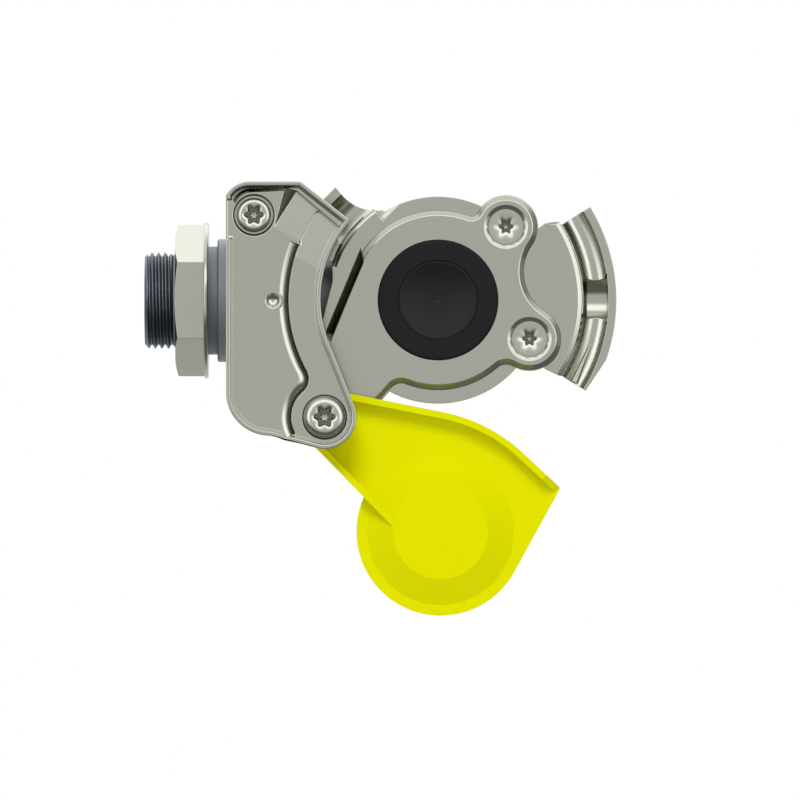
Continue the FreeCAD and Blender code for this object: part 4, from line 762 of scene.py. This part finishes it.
def close_up(shape, name):
    """Merges a spun shape, turns its faces outwards, smooths it and marks its sharp edges."""
    bmesh.ops.remove_doubles(shape, verts=shape.verts, dist=SPUN_MERGE)
    bmesh.ops.recalc_face_normals(shape, faces=shape.faces)
    for line in shape.edges:
        line.smooth = is_smooth(line, SPUN_FOLD)
    return finished_mesh(shape, name)


def dome_profile(crown, radius, head, shank):
    """The profile of a dome head from the rim of its crown to its shank."""
    points = []
    for turn in range(1, DOME_STEPS + 1):
        angle = math.radians(90.0 * turn / DOME_STEPS)
        drop = DOME_RISE * head * (1.0 - math.cos(angle))
        points.append((drop, crown + (radius - crown) * math.sin(angle)))
    return points + [(head, radius), (head, shank)]


def star_screw(node, head, socket, shank, domed):
    """A screw with a star socket: a dome head with a flat crown, or a flat countersunk head."""
    low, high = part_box(node)
    place = Vector(((low[0] + high[0]) / 2, low[1], (low[2] + high[2]) / 2))
    radius = (high[0] - low[0]) / 2
    length = high[1] - low[1]
    points = [
        (SOCKET_DEPTH + socket * SOCKET_CONE, 0.0),
        (SOCKET_DEPTH, socket * SOCKET_FOOT),
        (SOCKET_LIP, socket * SOCKET_MOUTH),
        (0.0, socket + CROWN_RIM),
    ]
    if domed:
        points += dome_profile(socket + CROWN_RIM, radius, head, shank)
    else:
        points += [
            (0.0, radius - HEAD_CUT),
            (HEAD_CUT, radius),
            (HEAD_EDGE, radius),
            (HEAD_EDGE + radius - shank, shank),
        ]
    points += [(length - SHANK_CUT, shank), (length, shank - SHANK_CUT), (length, 0.0)]
    shape = bmesh.new()
    spin_profile(shape, points, place, Vector((0.0, 1.0, 0.0)), STAR_STEPS)
    for vert in shape.verts:
        run = vert.co - place
        reach = math.hypot(run.x, run.z)
        if AXIS_LEEWAY < reach < socket and run.y < SOCKET_DEPTH + socket:
            lobe = 1.0 - STAR_DEPTH * (0.5 - 0.5 * math.cos(LOBES * math.atan2(run.z, run.x)))
            vert.co = Vector((place.x + run.x * lobe, vert.co.y, place.z + run.z * lobe))
    return close_up(shape, node + "_star")


def threaded_stub():
    """The stub with its collars, bore and ring groove, and a thread wound on its free end."""
    sizes = bpy.context.scene.coupler_sizes
    low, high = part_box("port_connector")
    ring_low, ring_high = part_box("connector_o_ring")
    tip, inner = low[0], high[0]
    place = Vector((0.0, (low[1] + high[1]) / 2, (low[2] + high[2]) / 2))
    thread_end = tip + sizes.thread_length
    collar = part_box("lock_washer")[1][0]
    points = [
        (tip, STUB_BORE + BORE_CUT),
        (tip + BORE_CUT, STUB_BORE),
        (inner, STUB_BORE),
        (inner, SPIGOT_RADIUS - SPIGOT_CUT),
        (inner - SPIGOT_CUT, SPIGOT_RADIUS),
        (ring_high[0], SPIGOT_RADIUS),
        (ring_high[0], RING_FLOOR),
        (ring_low[0], RING_FLOOR),
        (ring_low[0], SPIGOT_RADIUS),
        (COLLAR_RIGHT, SPIGOT_RADIUS),
        (COLLAR_RIGHT, COLLAR_RADIUS - COLLAR_CUT),
        (COLLAR_RIGHT - COLLAR_CUT, COLLAR_RADIUS),
        (COLLAR_LEFT + COLLAR_CUT, COLLAR_RADIUS),
        (COLLAR_LEFT, COLLAR_RADIUS - COLLAR_CUT),
        (COLLAR_LEFT, SMALL_COLLAR_RADIUS),
        (collar, SMALL_COLLAR_RADIUS),
        (collar, NECK_RADIUS),
        (thread_end, NECK_RADIUS),
    ]
    along = Vector((1.0, 0.0, 0.0))
    shape = bmesh.new()
    spin_profile(shape, points, place, along, sizes.turn_steps)
    bmesh.ops.remove_doubles(shape, verts=shape.verts, dist=SPUN_MERGE)
    thread = wound_thread(place, along, tip, thread_end)
    shape.from_mesh(thread)
    bpy.data.meshes.remove(thread)
    for end in (tip, thread_end):
        rims = [
            line for line in shape.edges
            if line.is_boundary and all(abs(vert.co.x - end) < BAND_LEEWAY for vert in line.verts)
        ]
        bmesh.ops.triangle_fill(shape, edges=rims, use_beauty=True, normal=along)
    return close_up(shape, "port_stub_threaded")


def wound_thread(place, along, tip, end):
    """A V thread cut off square between two ends, with its crests cut back at both."""
    sizes = bpy.context.scene.coupler_sizes
    pitch, depth = sizes.thread_pitch, sizes.thread_depth
    root = STUB_RADIUS - depth
    thread = bmesh.new()
    start = tip - LEAD_TURNS * pitch
    turns = math.ceil((end - tip) / pitch) + SPARE_TURNS
    ring = [
        thread.verts.new((start + (turn + share) * pitch, place.y, place.z + root + depth * height))
        for turn in range(turns)
        for share, height in THREAD_TURN
    ]
    lines = [thread.edges.new(pair) for pair in zip(ring, ring[1:])]
    bmesh.ops.spin(
        thread, geom=ring + lines, cent=place, axis=along, dvec=along * pitch / sizes.turn_steps,
        angle=2 * math.pi, steps=sizes.turn_steps,
    )
    bmesh.ops.remove_doubles(thread, verts=thread.verts, dist=SPUN_MERGE)
    for vert in thread.verts:
        cap = root + max(0.0, min(vert.co.x - tip, end - vert.co.x))
        reach = math.hypot(vert.co.y - place.y, vert.co.z - place.z)
        if reach > cap:
            vert.co.y = place.y + (vert.co.y - place.y) * cap / reach
            vert.co.z = place.z + (vert.co.z - place.z) * cap / reach
    for where, normal in ((tip, -along), (end, along)):
        bmesh.ops.bisect_plane(
            thread, geom=thread.verts[:] + thread.edges[:] + thread.faces[:],
            plane_co=Vector((where, 0.0, 0.0)), plane_no=normal, clear_outer=True,
        )
    return finished_mesh(thread, "thread")


def pressed_spring(node):
    """A smoothly shaded copy of a spring, with a mesh of its own, which stands for it."""
    shape = loose_copy(node)
    for line in shape.edges:
        line.smooth = is_smooth(line, WIRE_FOLD)
    mesh = finished_mesh(shape, node + "_wire")
    spring = new_piece(node + "_wire", mesh, "coupler", spring_finish(), "spring_steel", node)
    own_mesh(spring)


def dress(node, material):
    """Gives a solid that stays its finish."""
    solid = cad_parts[node]
    solid.data.materials.clear()
    solid.data.materials.append(material)


# Stage


def add_camera():
    """A long lens straight in front of the part."""
    lens = bpy.data.cameras.new("camera")
    lens.sensor_width = SENSOR_WIDTH
    lens.lens = SENSOR_WIDTH * CAMERA_DISTANCE / PICTURE_WIDTH
    lens.clip_end = CAMERA_REACH
    camera = bpy.data.objects.new("camera", lens)
    bpy.context.scene.collection.objects.link(camera)
    camera.location = (PICTURE_CENTRE.x, -CAMERA_DISTANCE, PICTURE_CENTRE.z)
    camera.rotation_euler = (math.radians(90.0), 0.0, 0.0)
    return camera


def add_lamp(name, place, size, power):
    """A soft lamp that lights without its own square showing in the metal."""
    light = bpy.data.lights.new(name, "AREA")
    light.shape = "SQUARE"
    light.size = size
    light.energy = power
    lamp = bpy.data.objects.new(name, light)
    bpy.context.scene.collection.objects.link(lamp)
    lamp.location = place
    lamp.rotation_euler = (PICTURE_CENTRE - Vector(place)).to_track_quat("-Z", "Y").to_euler()
    lamp.visible_glossy = False


def add_plane(name, middle, tilt, depth, material):
    """A plane as wide as the stage, tilted up from level by an angle in degrees."""
    turn = Matrix.Rotation(math.radians(tilt), 4, "X")
    shape = bmesh.new()
    bmesh.ops.create_grid(
        shape, x_segments=1, y_segments=1, size=0.5,
        matrix=Matrix.Translation(middle) @ turn @ Matrix.Diagonal((2 * STAGE_REACH, depth, 1.0, 1.0)),
    )
    mesh = bpy.data.meshes.new(name)
    shape.to_mesh(mesh)
    shape.free()
    plane = bpy.data.objects.new(name, mesh)
    bpy.context.scene.collection.objects.link(plane)
    mesh.materials.append(material)


def mixed_shader(tree, first, second):
    """A mix of two shaders, whose first input takes the second one's share."""
    mix = tree.nodes.new("ShaderNodeMixShader")
    tree.links.new(first.outputs[0], mix.inputs[1])
    tree.links.new(second.outputs[0], mix.inputs[2])
    return mix


def stage_material(name):
    """A pale surface with a glow to mix in, clear to a view from its far side."""
    material = bpy.data.materials.new(name)
    material.use_nodes = True
    tree = material.node_tree
    tree.nodes.clear()
    plain = tree.nodes.new("ShaderNodeBsdfDiffuse")
    plain.inputs["Color"].default_value = (*bpy.context.scene.coupler_colours.floor, 1.0)
    glow = tree.nodes.new("ShaderNodeEmission")
    front = mixed_shader(tree, plain, glow)
    clear = tree.nodes.new("ShaderNodeBsdfTransparent")
    both = mixed_shader(tree, front, clear)
    side = tree.nodes.new("ShaderNodeNewGeometry")
    tree.links.new(side.outputs["Backfacing"], both.inputs[0])
    out = tree.nodes.new("ShaderNodeOutputMaterial")
    tree.links.new(both.outputs[0], out.inputs["Surface"])
    return material, glow.inputs["Strength"], front.inputs[0]


def backdrop_material():
    """White to the camera and in gloss and glass, a plain pale wall to every other ray."""
    material, _, share = stage_material("backdrop_white")
    tree = material.node_tree
    path = tree.nodes.new("ShaderNodeLightPath")
    seen = math_node(tree, "MAXIMUM", path.outputs["Is Camera Ray"], path.outputs["Is Transmission Ray"])
    seen = math_node(tree, "MAXIMUM", seen, path.outputs["Is Glossy Ray"])
    tree.links.new(seen, share)
    return material


def floor_material():
    """A pale floor that keeps shadows; in gloss it is a painted glow, a painted shadow dim under the part
    and bright behind it.
    """
    material, strength, share = stage_material("floor_pale")
    tree = material.node_tree
    place = tree.nodes.new("ShaderNodeTexCoord")
    split = tree.nodes.new("ShaderNodeSeparateXYZ")
    path = tree.nodes.new("ShaderNodeLightPath")
    tree.links.new(place.outputs["Object"], split.inputs["Vector"])
    # Painted shadow: in gloss the floor glows, dim under the part and bright behind it
    painted_shadow_glow = smooth_step(tree, split.outputs["Y"], 0.0, FLOOR_FADE, FLOOR_PAINTED_SHADOW, FLOOR_BRIGHT)
    tree.links.new(painted_shadow_glow, strength)
    tree.links.new(path.outputs["Is Glossy Ray"], share)
    return material


def studio_world():
    """White to the eye, soft and even as light, and in gloss a studio with soft boxes round the front.

    Front goes from -1 straight behind the part to 1 straight ahead of it, and height from -1 to 1.
    """
    world = bpy.data.worlds.new("studio")
    world.use_nodes = True
    tree = world.node_tree
    tree.nodes.clear()
    path = tree.nodes.new("ShaderNodeLightPath")
    place = tree.nodes.new("ShaderNodeTexCoord")
    split = tree.nodes.new("ShaderNodeSeparateXYZ")
    tree.links.new(place.outputs["Generated"], split.inputs["Vector"])
    front = math_node(tree, "MULTIPLY", split.outputs["Y"], -1.0)
    height = split.outputs["Z"]
    ring = math_node(
        tree, "MULTIPLY", smooth_step(tree, front, 0.5, 0.7), smooth_step(tree, front, 0.86, 0.96, 1.0, 0.0)
    )
    boxes = blended(tree, smooth_step(tree, height, -0.42, 0.0), DARK_LOW, BRIGHT_BOX)
    ahead = blended(tree, ring, PLAIN_WHITE, boxes)
    around = blended(tree, smooth_step(tree, height, 0.35, 0.85), DIM_SIDE, BRIGHT_TOP)
    around = blended(tree, smooth_step(tree, height, -0.6, -0.15, 1.0, 0.0), around, DARK_FLOOR)
    behind = blended(tree, smooth_step(tree, height, 0.2, 0.7), PALE_REAR, BRIGHT_REAR)
    studio = blended(tree, smooth_step(tree, front, 0.3, 0.5), around, ahead)
    studio = blended(tree, smooth_step(tree, front, -0.45, -0.25, 1.0, 0.0), studio, behind)
    soft = smooth_step(tree, front, 0.0, 1.0, SOFT_REAR, SOFT_FRONT)
    light = blended(tree, path.outputs["Is Glossy Ray"], soft, studio)
    strength = blended(tree, path.outputs["Is Camera Ray"], light, PLAIN_WHITE)
    background = tree.nodes.new("ShaderNodeBackground")
    background.inputs["Color"].default_value = (1.0, 1.0, 1.0, 1.0)
    out = tree.nodes.new("ShaderNodeOutputWorld")
    tree.links.new(strength, background.inputs["Strength"])
    tree.links.new(background.outputs[0], out.inputs["Surface"])
    return world


# Pieces


class COUPLER_OT_stage(bpy.types.Operator):
    """Floor, backdrop, lamps, world and camera"""

    bl_idname = "coupler.stage"
    bl_label = "Stage"

    def execute(self, context):
        scene = context.scene
        scene.view_settings.view_transform = "Standard"
        depth = STAGE_BACK - STAGE_FRONT
        middle = Vector((0.0, (STAGE_FRONT + STAGE_BACK) / 2, FLOOR_HEIGHT))
        add_plane("studio_floor", middle, 0.0, depth, floor_material())
        rise = BACKDROP_HEIGHT - FLOOR_HEIGHT
        middle = Vector((0.0, STAGE_BACK, (FLOOR_HEIGHT + BACKDROP_HEIGHT) / 2))
        add_plane("studio_backdrop", middle, 90.0, rise, backdrop_material())
        scene.world = studio_world()
        add_lamp("front_lamp", place=(-0.1, -1.05, 0.75), size=0.5, power=7.6)
        add_lamp("rear_lamp", place=(0.5, 0.55, 0.7), size=0.5, power=4.5)
        scene.camera = add_camera()
        return {"FINISHED"}


class COUPLER_OT_castings(bpy.types.Operator):
    """Housing, claw plate and seal retainer, with rounded casting edges"""

    bl_idname = "coupler.castings"
    bl_label = "Castings"

    def execute(self, context):
        radius = context.scene.coupler_sizes.cast_round
        rules = (
            ("housing", None, slope_housing, True),
            ("claw_plate", claw_edge, slope_claw, False),
            ("seal_retainer", retainer_edge, None, False),
        )
        for node, rule, form, clamp in rules:
            rounded_copy(
                node, node + "_cast", "coupler", casting_finish(), "cast_metal", radius,
                rule=rule, form=form, clamp=clamp,
            )
        return {"FINISHED"}


class COUPLER_OT_fasteners(bpy.types.Operator):
    """Screws, nut, washers and sleeves"""

    bl_idname = "coupler.fasteners"
    bl_label = "Screws, nut and washers"

    def execute(self, context):
        sizes = context.scene.coupler_sizes
        radius = sizes.thin_round
        screws = (
            ("claw_screw", sizes.claw_head, sizes.claw_socket, CLAW_SHANK, True),
            ("pivot_screw", sizes.pivot_head, sizes.pivot_socket, PIVOT_SHANK, True),
            ("retainer_screw_upper", 0.0, sizes.flat_socket, FLAT_SHANK, False),
            ("retainer_screw_lower", 0.0, sizes.flat_socket, FLAT_SHANK, False),
        )
        for node, head, socket, shank, domed in screws:
            mesh = star_screw(node, head, socket, shank, domed)
            new_piece(node + "_star", mesh, "coupler", plated_finish(), "screws", node)
        for node in ("lock_nut", "lock_washer"):
            rounded_copy(node, node + "_plated", "coupler", plated_finish(), "bare_steel", radius)
        for node in ("claw_spacer", "detent_pin", "detent_plug"):
            dress(node, plated_finish())
        dress("pivot_bush", bronze_finish())
        for node in ("cover_disc_spring", "retaining_ring"):
            dress(node, spring_finish())
        return {"FINISHED"}


class COUPLER_OT_port_stub(bpy.types.Operator):
    """Threaded stub with its collars"""

    bl_idname = "coupler.port_stub"
    bl_label = "Port stub"

    def execute(self, context):
        stub = new_piece(
            "port_stub_threaded", threaded_stub(), "coupler", stub_finish(), "bare_steel", "port_connector"
        )
        stub.data.materials.append(collar_finish())
        nut_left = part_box("lock_nut")[0][0]
        for face in stub.data.polygons:
            face.material_index = 1 if face.center.x > nut_left else 0
        dress("connector_o_ring", rubber_finish())
        return {"FINISHED"}


class COUPLER_OT_valve(bpy.types.Operator):
    """Seal ring, valve plunger, rear cap and their rings and springs"""

    bl_idname = "coupler.valve"
    bl_label = "Seal and valve"

    def execute(self, context):
        for node in ("seal_ring", "plunger_o_ring", "rear_cap_o_ring"):
            dress(node, rubber_finish())
        dress("valve_plunger", plunger_finish())
        dress("rear_cap", stub_finish())
        pressed_spring("valve_spring")
        pressed_spring("detent_spring")
        return {"FINISHED"}


class COUPLER_OT_dust_cover(bpy.types.Operator):
    """Moulded dust cover"""

    bl_idname = "coupler.dust_cover"
    bl_label = "Dust cover"

    def execute(self, context):
        radius = context.scene.coupler_sizes.cover_round
        rounded_copy("dust_cover", "dust_cover_moulded", "cover", cover_finish(), "yellow_plastic", radius)
        return {"FINISHED"}


OPERATORS = (
    COUPLER_OT_stage,
    COUPLER_OT_castings,
    COUPLER_OT_fasteners,
    COUPLER_OT_port_stub,
    COUPLER_OT_valve,
    COUPLER_OT_dust_cover,
)


class COUPLER_PT_panel(bpy.types.Panel):
    """The coupler's pieces, sizes and colours"""

    bl_idname = "COUPLER_PT_panel"
    bl_label = "Gladhand coupler"
    bl_space_type = "VIEW_3D"
    bl_region_type = "UI"
    bl_category = "Coupler"

    def draw(self, context):
        column = self.layout.column(align=True)
        for operator in OPERATORS:
            column.operator(operator.bl_idname)
        for group in (context.scene.coupler_sizes, context.scene.coupler_colours):
            for name in type(group).__annotations__:
                self.layout.prop(group, name)


CLASSES = (CouplerSizes, CouplerColours, *OPERATORS, COUPLER_PT_panel)


def register():
    for item in CLASSES:
        bpy.utils.register_class(item)
    bpy.types.Scene.coupler_sizes = PointerProperty(type=CouplerSizes)
    bpy.types.Scene.coupler_colours = PointerProperty(type=CouplerColours)


def unregister():
    del bpy.types.Scene.coupler_colours
    del bpy.types.Scene.coupler_sizes
    for item in reversed(CLASSES):
        bpy.utils.unregister_class(item)


def main():
    """Builds every piece."""
    register()
    for operator in OPERATORS:
        family, name = operator.bl_idname.split(".")
        getattr(getattr(bpy.ops, family), name)()


if __name__ == "__main__":
    main()
